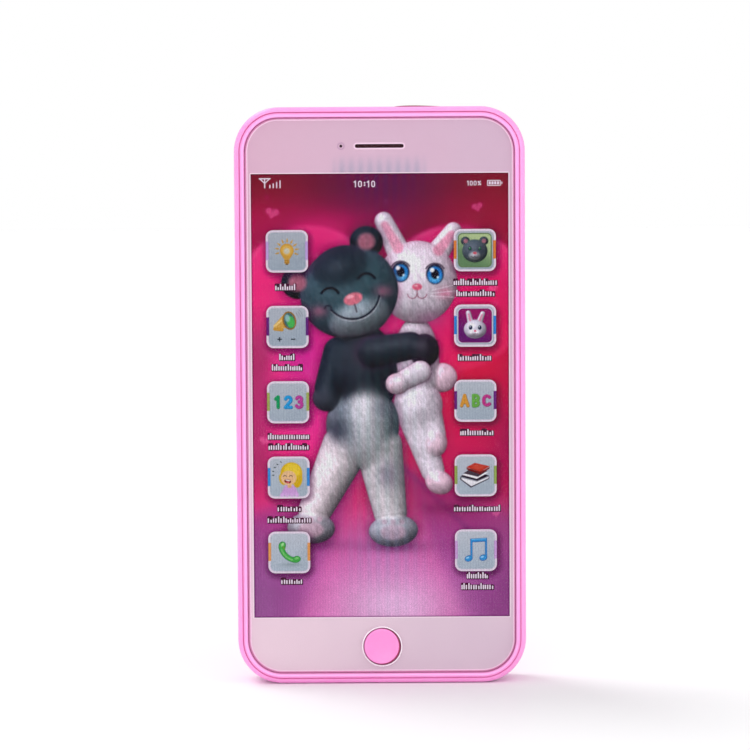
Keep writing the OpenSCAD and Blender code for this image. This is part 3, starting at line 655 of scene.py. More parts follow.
# width of the broken edges
ROUNDED = {
    "front_housing": 0.10, "rear_cover": 0.14, "battery_cover": 0.14, "home_button": 0.05,
    "switch_knob": 0.10, "switch_lever": 0.08, "battery_pad": 0.5, "cover_screw": 0.05,
    "case_screws": 0.05, "switch_case": 0.06, "torch_lens": 0.08, "main_board": 0.05,
    "button_board": 0.05, "speaker_basket": 0.08, "speaker_yoke": 0.1, "speaker_magnet": 0.1,
    "contact_plates": 0.05, "board_screws": 0.05, "screw_washer": 0.06, "button_dome": 0.08,
    "torch_leads": 0.03, "switch_terminals": 0.05,
}


def dress(name, piece):
    """Weld, break the edges and give the piece its material."""
    weld = piece.modifiers.new("weld", "WELD")
    weld.merge_threshold = 2e-6
    if name in ROUNDED:
        flats = piece.modifiers.new("flats", "DECIMATE")
        flats.decimate_type = "DISSOLVE"
        flats.angle_limit = math.radians(0.25)
        bevel = piece.modifiers.new("edges", "BEVEL")
        bevel.width = ROUNDED[name] * MM
        bevel.segments = 2
        bevel.limit_method = "ANGLE"
        bevel.angle_limit = math.radians(38)
        bevel.use_clamp_overlap = True
    mesh = piece.data
    mesh.polygons.foreach_set("use_smooth", [True] * len(mesh.polygons))
    if mesh.attributes.get("custom_normal"):
        mesh.attributes.remove(mesh.attributes["custom_normal"])
    mesh.materials.clear()
    slot = SLOTS[name]
    if name.startswith("battery_cell_"):
        slot = "cell_" + name.rsplit("_", 1)[1]
    mesh.materials.append(MATS[slot])


def smoothing_group(degrees):
    """Node group that keeps edges sharper than an angle sharp and smooths the rest."""
    group = bpy.data.node_groups.new("smooth_by_angle_%d" % degrees, "GeometryNodeTree")
    for way in ("INPUT", "OUTPUT"):
        group.interface.new_socket("Geometry", in_out=way, socket_type="NodeSocketGeometry")
    start = group.nodes.new("NodeGroupInput")
    end = group.nodes.new("NodeGroupOutput")
    angle = group.nodes.new("GeometryNodeInputMeshEdgeAngle")
    compare = group.nodes.new("FunctionNodeCompare")
    compare.data_type = "FLOAT"
    compare.operation = "LESS_EQUAL"
    compare.inputs[1].default_value = math.radians(degrees)
    shade = group.nodes.new("GeometryNodeSetShadeSmooth")
    shade.domain = "EDGE"
    group.links.new(start.outputs[0], shade.inputs[0])
    group.links.new(angle.outputs[0], compare.inputs[0])
    group.links.new(compare.outputs[0], shade.inputs[2])
    group.links.new(shade.outputs[0], end.inputs[0])
    return group


for name, piece in nodes.items():
    dress(name, piece)

smoothing = smoothing_group(32)
for piece in nodes.values():
    piece.modifiers.new("smooth", "NODES").node_group = smoothing
    if piece.name in ROUNDED:
        flat_faces = piece.modifiers.new("flat_faces", "WEIGHTED_NORMAL")
        flat_faces.keep_sharp = True
        flat_faces.weight = 80

# ---------------------------------------------------------------- painter
# Colours are sRGB 0..255; x runs across and z up. Shapes are signed distances, negative inside.


def ramp(start, end, value):
    """0 at start, 1 at end, smooth between."""
    t = np.clip((value - start) / (end - start), 0, 1)
    return t * t * (3 - 2 * t)


def lerp(first, second, t):
    return first + (second - first) * t


def two_tone(first, second, mask):
    return lerp(np.array(first, float), np.array(second, float), mask[..., None])


def bell(value, centre, spread):
    return np.exp(-(((value - centre) / spread) ** 2))


def rotated(x, z, at_x, at_z, degrees):
    """Coordinates in a turned frame."""
    turn = math.radians(degrees)
    cos, sin = math.cos(turn), math.sin(turn)
    off_x, off_z = x - at_x, z - at_z
    return off_x * cos + off_z * sin, -off_x * sin + off_z * cos


def circle(x, z, at_x, at_z, radius):
    return np.hypot(x - at_x, z - at_z) - radius


def ellipse(x, z, at_x, at_z, half_x, half_z, degrees=0):
    across, up = rotated(x, z, at_x, at_z, degrees)
    size = np.sqrt((across / half_x) ** 2 + (up / half_z) ** 2) + 1e-9
    slope = np.sqrt((across / half_x**2) ** 2 + (up / half_z**2) ** 2) + 1e-9
    return (size - 1) * size / slope


def box(x, z, at_x, at_z, half_x, half_z, radius=0.0, degrees=0):
    across, up = rotated(x, z, at_x, at_z, degrees)
    over_x, over_z = np.abs(across) - half_x + radius, np.abs(up) - half_z + radius
    outside = np.hypot(np.maximum(over_x, 0), np.maximum(over_z, 0))
    return outside + np.minimum(np.maximum(over_x, over_z), 0) - radius


def along_line(x, z, x1, z1, x2, z2):
    """Share of the way along a line, 0..1, and distance from it."""
    run, rise = x2 - x1, z2 - z1
    t = np.clip(((x - x1) * run + (z - z1) * rise) / (run * run + rise * rise), 0, 1)
    return t, np.hypot(x - x1 - t * run, z - z1 - t * rise)


def stroke(x, z, x1, z1, x2, z2, radius1, radius2=None):
    """Round-ended stroke, tapering if a second radius is given."""
    t, distance = along_line(x, z, x1, z1, x2, z2)
    return distance - lerp(radius1, radius1 if radius2 is None else radius2, t)


def polygon(x, z, *corners):
    nearest = np.full(x.shape, 1e9)
    inside = np.zeros(x.shape, bool)
    for (x1, z1), (x2, z2) in zip(corners, corners[1:] + corners[:1]):
        nearest = np.minimum(nearest, along_line(x, z, x1, z1, x2, z2)[1])
        crossing = x < (x2 - x1) * (z - z1) / (z2 - z1 + 1e-12) + x1
        inside ^= ((z1 > z) != (z2 > z)) & crossing
    return np.where(inside, -nearest, nearest)


def arc(x, z, at_x, at_z, radius, start, end, width):
    """Round-ended arc stroke from start to end degrees."""
    angle = np.degrees(np.arctan2(z - at_z, x - at_x))
    off = (angle - (start + end) / 2 + 180) % 360 - 180
    body = np.abs(np.hypot(x - at_x, z - at_z) - radius)
    tips = [
        circle(x, z, at_x + radius * math.cos(a), at_z + radius * math.sin(a), 0)
        for a in (math.radians(start), math.radians(end))
    ]
    return np.where(np.abs(off) <= (end - start) / 2, body, np.minimum(*tips)) - width / 2


def heart(x, z, at_x, at_z, size, degrees=0):
    """Heart about 2 size wide: two lobes over a square corner."""
    across, up = rotated(x, z, at_x, at_z, degrees)
    across, up = np.abs(across) / size, up / size
    lobe = np.hypot(across - 0.5, up - 0.18) - 0.5
    body = np.maximum((across + 0.92 * (0.18 - up) - 1.0) * 0.74, up - 0.18)
    body = np.maximum(body, -(up + 0.92))
    return np.minimum(lobe, body) * size


def lattice(x, z, seed):
    """Hashed value, 0..1, of each whole-number point."""
    h = x.astype(np.int64) * 374761393 + z.astype(np.int64) * 668265263 + seed * 974634777
    h = h & 0x7FFFFFFF
    h = (h ^ (h >> 13)) * 1274126177 & 0x7FFFFFFF
    return ((h ^ (h >> 16)) & 0xFFFF) / 65535.0


def noise(x, z, size, seed):
    """Smooth noise, -0.5..0.5."""
    x, z = x / size, z / size
    cell_x, cell_z = np.floor(x), np.floor(z)
    in_x, in_z = x - cell_x, z - cell_z
    in_x, in_z = in_x * in_x * (3 - 2 * in_x), in_z * in_z * (3 - 2 * in_z)
    low = lerp(lattice(cell_x, cell_z, seed), lattice(cell_x + 1, cell_z, seed), in_x)
    high = lerp(lattice(cell_x, cell_z + 1, seed), lattice(cell_x + 1, cell_z + 1, seed), in_x)
    return lerp(low, high, in_z) - 0.5


def blur(values, sigma):
    """Gaussian blur with sigma in cells."""
    reach = max(1, int(3 * sigma))
    kernel = np.exp(-0.5 * (np.arange(-reach, reach + 1) / sigma) ** 2)
    kernel /= kernel.sum()
    values = np.pad(values, reach, mode="edge")
    for axis in (0, 1):
        values = np.apply_along_axis(lambda v: np.convolve(v, kernel, "valid"), axis, values)
    return values


class Canvas:
    """Colours at a grid of points, painted with soft-edged shapes."""

    def __init__(self, x, z, colours, step):
        self.x, self.z, self.colours, self.step = x, z, colours, step

    def over(self, mask, colour):
        mask = np.clip(mask, 0, 1)[..., None]
        self.colours = self.colours * (1 - mask) + np.array(colour, float) * mask

    def fill(self, distance, colour, soft, opacity=1.0):
        self.over(opacity * (1 - ramp(-soft, soft, distance)), colour)

    def paint(self, *rows):
        """Rows: shape, its measures, colour, edge softness, opacity (1 if left out)."""
        for shape, measures, *look in rows:
            self.fill(shape(self.x, self.z, *measures), *look)

    def glow(self, *rows):
        """Rows: opacity, x, z, spread in x, spread in z, colour."""
        for opacity, x, z, spread_x, spread_z, colour in rows:
            self.over(opacity * bell(self.x, x, spread_x) * bell(self.z, z, spread_z), colour)


class Plush:
    """A soft figure of blended round forms, lit as if it stood in front of the picture.

    Forms are ("ball", x, z, half x, half z, depth, forward, colour[, degrees]) and
    ("limb", x1, z1, x2, z2, radius 1, radius 2, forward 1, forward 2, colour)."""

    LIGHT = np.array((-0.38, 0.55, 0.74))
    WRAP = 0.55  # how far the light reaches round a form

    def __init__(self, pic, tightness, *forms):
        self.pic, self.tightness = pic, tightness
        self.weight = np.zeros(pic.x.shape)
        self.colour = np.zeros(pic.x.shape + (3,))
        self.distance = np.full(pic.x.shape, 1e9)
        for kind, *values in forms:
            getattr(self, kind)(*values)

    def add(self, height, distance, colour):
        height = np.where(distance < 0.3, height, -60)
        weight = np.exp(np.clip(self.tightness * (height - 10), -60, 40))
        self.weight += weight
        self.colour += weight[..., None] * np.array(colour, float)
        self.distance = np.minimum(self.distance, distance)

    def ball(self, at_x, at_z, half_x, half_z, depth, forward, colour, degrees=0):
        x, z = self.pic.x, self.pic.z
        across, up = rotated(x, z, at_x, at_z, degrees)
        rise = np.clip(1 - (across / half_x) ** 2 - (up / half_z) ** 2, 0, 1)
        edge = ellipse(x, z, at_x, at_z, half_x, half_z, degrees)
        self.add(forward + depth * np.sqrt(rise), edge, colour)

    def limb(self, x1, z1, x2, z2, radius1, radius2, forward1, forward2, colour):
        t, off = along_line(self.pic.x, self.pic.z, x1, z1, x2, z2)
        radius = lerp(radius1, radius2, t)
        rise = np.sqrt(np.clip(radius * radius - off * off, 0, None))
        self.add(lerp(forward1, forward2, t) + rise, off - radius, colour)

    def shade(self, rim=(235, 60, 150), ambient=0.34):
        """Lit colours at every point."""
        step, distance = self.pic.step, self.distance
        height = 10 + np.log(self.weight + 1e-30) / self.tightness
        colour = self.colour / (self.weight[..., None] + 1e-30)
        slope_z, slope_x = (np.clip(g, -4, 4) for g in np.gradient(height, step))
        normal = np.stack([-slope_x, -slope_z, np.ones_like(slope_x)], -1)
        normal /= np.linalg.norm(normal, axis=-1, keepdims=True)
        light = self.LIGHT / np.linalg.norm(self.LIGHT)
        diffuse = np.clip((normal @ light + self.WRAP) / (1 + self.WRAP), 0, 1) ** 1.25
        halfway = self.LIGHT + np.array([0, 0, 1.0])
        halfway /= np.linalg.norm(halfway)
        gloss = np.clip(normal @ halfway, 0, 1) ** 14
        edge = 0.32 * ((1 - normal[..., 2]) ** 2.2)[..., None]
        # creases: darker where a form is lower than its surroundings
        masked = np.where(distance < 0, height, -3.0)
        crease = np.clip((blur(masked, 1.8 / step) - masked) / 5.0, 0, 0.55)
        tone = ((ambient + (1.12 - ambient) * diffuse) * (1 - crease))[..., None]
        lit = colour * tone + 22 * gloss[..., None]
        lit = lit * (1 - edge) + np.array(rim, float) * edge * (0.35 + 0.65 * tone)
        return np.clip(lit, 0, 255)

    def stand(self, halo, colour, soft, opacity, **lighting):
        """Paint the figure over a soft halo."""
        self.pic.fill(self.distance - halo, colour, soft, opacity)
        self.pic.over(1 - ramp(-0.22, 0.22, self.distance), self.shade(**lighting))
        return self.distance


# ---------------------------------------------------------------- picture


def wallpaper(x, z, step):
    """Crimson curtain behind a big pink heart, over a violet floor with a pale pool of light."""
    across = x / PICTURE_HALF_X
    side = np.abs(across)
    up = (z - PICTURE_Z0) / (PICTURE_Z1 - PICTURE_Z0)
    top = two_tone((112, 6, 60), (126, 6, 44), ramp(0.2, 0.95, side))
    middle = two_tone((238, 46, 116), (196, 28, 78), ramp(-0.9, 0.9, across))
    low = two_tone((216, 100, 172), (152, 66, 136), ramp(0.3, 1.0, side))
    back = two_tone(middle, top, ramp(0.74, 0.99, up + 0.02 * np.cos(3 * across)))
    pic = Canvas(x, z, two_tone(low, back, ramp(0.06, 0.34, up)), step)
    # the big heart, its two lobes near the top corners
    edge = heart(x, z, 0.5, 91.0, 36.5)
    pic.over(0.55 * bell(np.maximum(edge, 0), 0, 4.5) * ramp(104, 112, z), (104, 6, 44))
    pic.fill(edge, (232, 36, 128), 1.1, 0.72)
    pic.over(0.5 * bell(edge, -2.0, 2.0), (246, 66, 138))
    pic.fill(np.abs(edge + 0.5) - 0.4, (255, 120, 170), 0.8, 0.36)
    pic.glow(
        (0.5, -27, 88, 9, 18, (238, 60, 116)),
        (0.55, 29, 84, 9, 22, (212, 24, 64)),
        (0.45, 32, 60, 5, 14, (118, 24, 80)),
        (0.55, 21, 74, 8, 15, (222, 28, 60)),
        (0.4, 20, 112, 7, 9, (214, 30, 84)),
        # brighter above the left lobe
        (0.6, -15, 115.4, 11, 4.4, (232, 40, 122)),
    )
    # darker down the left side
    left = ramp(-25, -30.5, x) * ramp(98, 84, z) * ramp(44, 56, z)
    pic.over(0.6 * left, (144, 50, 92))
    # magenta haze low behind the figures
    pic.glow(
        (0.5, -18, 68, 12, 14, (220, 54, 170)),
        (0.6, -20, 86, 7, 11, (196, 40, 160)),
        (0.4, 22, 58, 10, 12, (196, 34, 104)),
    )
    # floor
    pic.over(0.5 * ramp(50, 34, z), (204, 92, 168))
    for s in (-1, 1):
        wedge = ((s * 4, 56), (s * 34, 42), (s * 34, 12), (s * 23, 12))
        pic.paint(
            (polygon, wedge, (116, 50, 126), 2.6, 0.40),
            (stroke, (s * 4.5, 56, s * 24, 37, 0.45), (98, 40, 104), 1.0, 0.34),
        )
        pic.glow((0.55, s * 33, 18, 10, 13, (112, 50, 122)))
    pool = bell(x, 1, 10 + 0.40 * (40 - z).clip(0, 40)) * ramp(44, 20, z)
    pic.over(0.75 * pool, (244, 158, 216))
    pic.glow((0.75, 3, 19, 14, 8, (234, 194, 228)))
    pic.over(0.42 * ramp(-20, -31, x) * ramp(50, 18, z), (186, 128, 176))
    pic.over(0.26 * ramp(22, 31, x) * ramp(52, 42, z), (180, 96, 146))
    # small soft lights and little hearts
    rng = np.random.RandomState(4)
    for _ in range(26):
        at_x, at_z = rng.uniform(-31, 31), rng.uniform(60, 126)
        radius = rng.uniform(0.25, 0.9)
        pic.paint((circle, (at_x, at_z, radius), (255, 150, 200), radius * 0.7, 0.13))
    # x, z, size, degrees
    for place in (
        (-27, 119.2, 1.7, -12), (24.5, 120.4, 1.4, 14), (28.5, 99.9, 1.2, 20),
        (-29.5, 61.8, 1.2, -18), (29, 43, 1.0, 12),
    ):
        pic.paint((heart, place, (255, 120, 180), 0.35, 0.45))
    pic.colours *= (1 + 0.05 * noise(x, z, 7, 3) + 0.03 * noise(x, z, 2.2, 5))[..., None]
    return pic


GREY, DARK_GREY, FOOT = (56, 80, 92), (26, 34, 46), (176, 172, 184)
WHITE, PINK_WHITE = (226, 210, 224), (236, 198, 216)
BELLY, LEG = (246, 230, 238), (238, 220, 228)
BLACK, GRIN, LIP, PAD = (14, 16, 26), (24, 20, 34), (150, 90, 110), (206, 160, 180)


def paint_rabbit(pic):
    """White toy rabbit; returns its outline distance."""
    outline = Plush(
        pic, 1.5,
        ("limb", 4.8, 109, 1.0, 117.0, 3.0, 2.3, 0, -1, WHITE),
        ("limb", 14.2, 108.5, 18.4, 114.4, 3.0, 2.2, 0, -1, WHITE),
        ("ball", 9.4, 101.6, 10.0, 10.4, 9, 0, WHITE),
        ("ball", 6.4, 97.4, 5.4, 4.8, 6, 1.5, WHITE),
        ("ball", 11.8, 97.0, 5.6, 4.8, 6, 1.5, WHITE),
        ("ball", 15.4, 77.5, 3.9, 3.7, 3.2, -2, PINK_WHITE),
        ("ball", 9.0, 81.0, 5.8, 12.0, 6.0, -2, WHITE),
        ("ball", 9.4, 70.5, 6.2, 6.6, 6.0, -1.4, WHITE),
        ("limb", 8.4, 68, 13.0, 54.0, 4.3, 3.0, -1, 0, WHITE),
        ("limb", 11.6, 69.5, 13.6, 63.0, 3.7, 2.8, -1, 0.6, WHITE),
        ("ball", 14.6, 51.0, 3.6, 3.0, 3.6, 0.4, PINK_WHITE, -24),
        ("ball", 13.8, 60.8, 2.9, 3.4, 3.4, 0.9, PINK_WHITE, -10),
    ).stand(0.5, (120, 10, 60), 1.6, 0.25, ambient=0.44)
    # ear linings
    for line in ((4.6, 110.2, 1.3, 116.0), (14.8, 109.6, 18.0, 113.6)):
        pic.paint((stroke, (*line, 1.4, 0.95), (226, 140, 170), 0.5, 0.85))
    pic.glow((0.45, 12.5, 92.4, 3.5, 2.2, (150, 90, 130)))
    # eyes: round glass beads
    for x, z in ((5.2, 104.2), (13.8, 103.6)):
        pic.paint(
            (ellipse, (x, z, 2.25, 2.6), (40, 40, 60), 0.25),
            (ellipse, (x, z - 0.25, 1.85, 2.1), (36, 120, 200), 0.35),
        )
        pic.glow((0.8, x, z - 1.2, 1.3, 0.8, (120, 210, 240)))
        pic.paint(
            (ellipse, (x, z, 1.0, 1.25), (16, 18, 34), 0.25),
            (circle, (x - 0.7, z + 1.0, 0.55), (255, 255, 255), 0.2),
            (circle, (x + 0.7, z - 0.8, 0.28), (230, 244, 255), 0.2, 0.9),
            (arc, (x, z + 0.1, 2.6, 30, 150, 0.34), (60, 40, 60), 0.2, 0.9),
        )
    # cheeks, nose and mouth
    pic.glow(*((0.5, x, 98.8, 2.0, 1.4, (246, 120, 160)) for x in (2.8, 16.2)))
    pic.paint(
        (ellipse, (9.3, 100.4, 1.25, 0.85), (224, 96, 128), 0.25),
        (ellipse, (9.0, 100.7, 0.45, 0.22), (255, 190, 205), 0.2, 0.9),
        (stroke, (9.3, 99.6, 9.3, 98.6, 0.12), LIP, 0.2, 0.9),
        (arc, (8.1, 98.7, 1.2, 190, 355, 0.26), LIP, 0.2, 0.9),
        (arc, (10.5, 98.7, 1.2, 185, 350, 0.26), LIP, 0.2, 0.9),
    )
    return outline


def paint_bear(pic):
    """Grey teddy bear, dark above and paler below; returns its outline distance."""
    outline = Plush(
        pic, 1.3,
        ("ball", -20.6, 101.6, 4.3, 4.1, 3.5, -2, DARK_GREY),
        ("ball", -3.4, 111.8, 4.2, 4.0, 3.5, -2, DARK_GREY),
        ("ball", -7.8, 99.2, 12.4, 11.6, 10, 0, GREY, 18),
        ("ball", -9.6, 104.4, 8.2, 6.4, 9.5, 1.0, (30, 38, 50), 18),
        ("ball", -5.6, 93.6, 8.4, 5.8, 8.5, 2.4, (150, 158, 170), 18),
        ("ball", -4.0, 78.6, 8.2, 12.5, 7.6, 0, (30, 32, 44)),
        ("ball", -4.6, 65.5, 9.2, 10.5, 7.8, 0.2, (116, 122, 136)),
        ("ball", -3.6, 66.0, 6.6, 12.0, 7.8, 0.8, BELLY),
        ("limb", -9.0, 60, -16.8, 44, 6.0, 4.2, 0.4, 0, LEG),
        ("limb", -0.6, 60, 2.2, 43.5, 6.0, 4.2, 0.4, 0, LEG),
        ("ball", -17.8, 39.6, 6.0, 4.0, 6.0, 0, FOOT, -3),
        ("ball", 3.0, 38.8, 6.2, 4.1, 6.0, 0, FOOT, 3),
        ("limb", -10.4, 84, -13.2, 75, 4.0, 3.5, 1, 2.4, DARK_GREY),
        ("ball", -13.5, 72.6, 3.7, 3.5, 3.8, 2.2, (60, 64, 78)),
    ).stand(0.7, (60, 4, 44), 1.8, 0.4, rim=(150, 90, 160), ambient=0.26)
    # ear linings
    for place in ((-20.8, 101.6, 2.3, 2.2), (-3.4, 111.9, 2.2, 2.1)):
        pic.paint((ellipse, place, (196, 108, 132), 0.7, 0.8))
    # darker patches, then paw pads
    pic.glow(
        (0.7, -11.0, 64, 2.6, 3.4, (40, 38, 56)),
        (0.5, 1.6, 53, 2.6, 3.6, (84, 66, 92)),
        (0.4, 0.4, 70, 2.6, 3, (60, 60, 80)),
    )
    for x, z in ((-17.8, 39.4), (3.0, 38.6)):
        pic.paint((ellipse, (x, z - 0.2, 3.2, 2.0), PAD, 0.6, 0.6))
        for toe in (-2.2, 0, 2.2):
            pic.paint((ellipse, (x + toe, z + 2.4, 0.7, 0.65), PAD, 0.35, 0.55))
    # closed, smiling eyes
    for x, z in ((-12.6, 99.0), (-3.4, 102.6)):
        pic.paint((arc, (x, z - 1.1, 2.35, 28, 152, 0.62), BLACK, 0.28))
    # cheeks
    for x, z in ((-15.4, 94.4), (0.8, 99.4)):
        pic.glow((0.42, x, z, 2.1, 1.5, (234, 106, 146)))
    pic.paint(
        # nose and the line under it
        (ellipse, (-6.8, 97.5, 2.4, 1.5, 18), (216, 110, 130), 0.35),
        (ellipse, (-7.6, 98.0, 1.0, 0.45, 18), (250, 176, 188), 0.3, 0.8),
        (stroke, (-6.4, 96.1, -5.9, 94.2, 0.18), (70, 60, 74), 0.25, 0.95),
        # one broad grin, with a pale line of light under it
        (arc, (-7.0, 99.0, 7.0, 222, 350, 0.34), (220, 216, 224), 0.3, 0.6),
        (arc, (-7.1, 99.4, 7.0, 222, 350, 0.46), GRIN, 0.25),
        (arc, (-13.1, 94.9, 0.9, 20, 170, 0.3), GRIN, 0.25, 0.8),
    )
    return outline


def figures(pic):
    """The bear with its arm round the rabbit."""
    # shadows under the feet
    pic.glow(
        (0.55, -18, 35.4, 8, 1.6, (92, 30, 84)),
        (0.6, 3.4, 34.8, 8, 1.6, (92, 30, 84)),
        (0.45, 17, 44.5, 8, 1.6, (110, 20, 70)),
    )
    rabbit = paint_rabbit(pic)
    bear = paint_bear(pic)
    # the bear's arm and fingers
    Plush(
        pic, 1.5,
        ("limb", -2.0, 84.0, 7.6, 85.6, 4.0, 3.5, 5, 7, (34, 36, 48)),
        ("ball", 11.0, 84.4, 3.8, 4.2, 4.4, 6.6, (40, 34, 46)),
    ).stand(0.6, (60, 20, 50), 1.2, 0.35, rim=(190, 90, 180), ambient=0.26)
    for t in (-1.6, 0.0, 1.6):
        line = (12.4, 85.0 + t, 14.4, 84.8 + t * 1.2, 0.16)
        pic.paint((stroke, line, (12, 10, 18), 0.2, 0.8))
    # the rabbit's paw on the bear
    paw = Plush(
        pic, 1.5,
        ("limb", 10.0, 79.0, 5.4, 76.6, 2.8, 2.5, 6, 8, WHITE),
        ("ball", 4.2, 76.0, 3.0, 2.7, 3.2, 7.8, PINK_WHITE),
    ).stand(0.5, (60, 20, 50), 1.0, 0.4, ambient=0.44)
    # whiskers
    for k in (-1, 0, 1):
        line = (12.8, 98.8 + 0.7 * k, 19.0, 98.8 + 1.6 * k + 0.5, 0.16, 0.05)
        pic.paint((stroke, line, (240, 230, 240), 0.16, 0.6))
    # fur
    x, z = pic.x, pic.z
    furry = ramp(0.6, -0.6, np.minimum(np.minimum(rabbit, bear), paw))
    fur = 1 + furry * (0.10 * noise(x, z * 0.8, 0.55, 7) + 0.05 * noise(x, z, 1.6, 9))
    fur = fur + furry * 0.18 * noise(x + 0.4 * z, (z - 0.4 * x) * 0.28, 0.42, 17)
    pic.colours *= fur[..., None]


def lens_veil(pic):
    """Broad upright bands from the ribbed sheet, blue-green down the middle."""
    x, z = pic.x, pic.z
    band = 0.5 + 0.5 * np.cos(2 * np.pi * (x - 1.5) / BAND_PITCH)
    veil = bell(x, 1, 11)
    upper = veil * bell(z, 127, 7)
    whole = veil * (0.35 + 0.65 * bell(z, 58, 26))
    pic.over(0.36 * upper * (0.4 + 0.6 * band), (52, 56, 100))
    pic.over(0.17 * whole * (0.35 + 0.65 * band), (70, 170, 150))
    pic.over(0.20 * veil * bell(z, 33, 7) * (0.4 + 0.6 * band), (150, 130, 200))


def picture(x, z, step):
    pic = wallpaper(x, z, step)
    figures(pic)
    lens_veil(pic)
    # soft shadows of the icons
    for icon_x, rows in zip(ICON_X, ICON_Z):
        for icon_z in rows:
            edge = box(x, z, icon_x + 0.3, icon_z - 0.55, 5.15, 5.2, 2.0)
            pic.over(0.55 * (1 - ramp(-0.5, 2.0, edge)), (52, 8, 44))
    # the picture is a little darker at its very edge
    inset_x = np.minimum(x + PICTURE_HALF_X, PICTURE_HALF_X - x)
    inset_z = np.minimum(z - PICTURE_Z0, PICTURE_Z1 - z)
    pic.over(0.5 * (1 - ramp(0.0, 0.5, np.minimum(inset_x, inset_z))), (70, 10, 60))
    return np.clip(pic.colours, 0, 255)


# ---------------------------------------------------------------- meshes

# the clear sheet lifts the darks a little, and the grain takes some light away
VEIL, GAIN = 0.011, 1.20


def add_mesh(name, points, faces, material, colours=None):
    """A flat-shaded mesh from points in millimetres."""
    mesh = bpy.data.meshes.new(name)
    points = np.asarray(points, float) * MM
    if isinstance(faces, np.ndarray):
        count, corners = faces.shape
        mesh.vertices.add(len(points))
        mesh.vertices.foreach_set("co", points.astype(np.float32).ravel())
        mesh.loops.add(faces.size)
        mesh.loops.foreach_set("vertex_index", faces.astype(np.int32).ravel())
        mesh.polygons.add(count)
        starts = np.arange(0, faces.size, corners, dtype=np.int32)
        mesh.polygons.foreach_set("loop_start", starts)
        mesh.polygons.foreach_set("loop_total", np.full(count, corners, np.int32))
        mesh.update(calc_edges=True)
    else:
        mesh.from_pydata([tuple(p) for p in points], [], faces)
    if colours is not None:
        paint = mesh.color_attributes.new("Paint", "FLOAT_COLOR", "POINT")
        rgba = np.ones((len(points), 4), np.float32)
        rgba[:, :3] = np.clip((to_linear(colours.reshape(-1, 3)) - VEIL) * GAIN, 0, 1)
        paint.data.foreach_set("color", rgba.ravel())
    mesh.polygons.foreach_set("use_smooth", [False] * len(mesh.polygons))
    mesh.materials.append(material)
    mesh.validate()
    made = bpy.data.objects.new(name, mesh)
    bpy.context.scene.collection.objects.link(made)
    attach(made, "root")
    return made


def add_painted_grid(name, x, y, z, colours):
    """A flat painted sheet from grids of x and z."""
    rows, columns = x.shape
    i = (np.arange(rows - 1)[:, None] * columns + np.arange(columns - 1)[None, :]).ravel()
    faces = np.stack([i, i + 1, i + columns + 1, i + columns], 1)
    points = np.stack([x.ravel(), np.full(x.size, y), z.ravel()], 1)
    add_mesh(name, points, faces, MATS["paint"], colours=colours)


def add_picture():
    """The picture, in two halves that share a row."""
    step = 0.2
    columns = int(round(2 * PICTURE_HALF_X / step)) + 1
    rows = int(round((PICTURE_Z1 - PICTURE_Z0) / step)) + 1
    x, z = np.meshgrid(
        np.linspace(-PICTURE_HALF_X, PICTURE_HALF_X, columns),
        np.linspace(PICTURE_Z0, PICTURE_Z1, rows),
    )
    colours = picture(x, z, x[0, 1] - x[0, 0])
    half = rows // 2
    for part, rows_in in (("lower", slice(0, half + 1)), ("upper", slice(half, rows))):
        add_painted_grid("picture_" + part, x[rows_in], Y_PICTURE, z[rows_in], colours[rows_in])


add_picture()

# ---------------------------------------------------------------- characters

# strokes in units of half the character's height:
# "s" x1, z1, x2, z2 or "a" centre x, centre z, radius, start and end degrees
GLYPHS = {
    "1": [("s", -0.35, 0.62, 0.1, 1.0), ("s", 0.1, 1.0, 0.1, -1.0)],
    "2": [
        ("a", 0.0, 0.48, 0.52, -38, 165), ("s", 0.41, 0.16, -0.52, -1.0),
        ("s", -0.52, -1.0, 0.56, -1.0),
    ],
    "3": [("a", -0.02, 0.5, 0.48, -85, 155), ("a", -0.02, -0.48, 0.54, -155, 85)],
    "0": [
        ("s", -0.48, 0.45, -0.48, -0.45), ("s", 0.48, 0.45, 0.48, -0.45),
        ("a", 0, 0.45, 0.48, 0, 180), ("a", 0, -0.45, 0.48, 180, 360),
    ],
    "A": [
        ("s", -0.62, -1.0, 0, 1.0), ("s", 0, 1.0, 0.62, -1.0), ("s", -0.4, -0.35, 0.4, -0.35),
    ],
    "B": [
        ("s", -0.45, -1.0, -0.45, 1.0), ("a", 0.0, 0.5, 0.48, -90, 90),
        ("s", -0.45, 1.0, 0, 1.0), ("s", -0.45, 0.0, 0.0, 0.0),
        ("a", 0.0, -0.5, 0.5, -90, 90), ("s", -0.45, -1.0, 0, -1.0),
    ],
    "C": [
        ("a", 0.1, 0.25, 0.62, 40, 180), ("a", 0.1, -0.25, 0.62, 180, 320),
        ("s", -0.52, 0.25, -0.52, -0.25),
    ],
    ":": [("s", 0, 0.38, 0, 0.42), ("s", 0, -0.42, 0, -0.38)],
    "%": [
        ("s", -0.5, -0.9, 0.5, 0.9), ("a", -0.42, 0.55, 0.24, 0, 359),
        ("a", 0.42, -0.55, 0.24, 0, 359),
    ],
}


def glyph_parts(character, x, z, height):
    """The character's strokes in millimetres."""
    half = height / 2
    for kind, across, up, third, *rest in GLYPHS[character]:
        if kind == "s":
            rest = [z + rest[0] * half]
            third = x + third * half
        else:
            third = third * half
        yield kind, (x + across * half, z + up * half, third, *rest)


# ---------------------------------------------------------------- icons


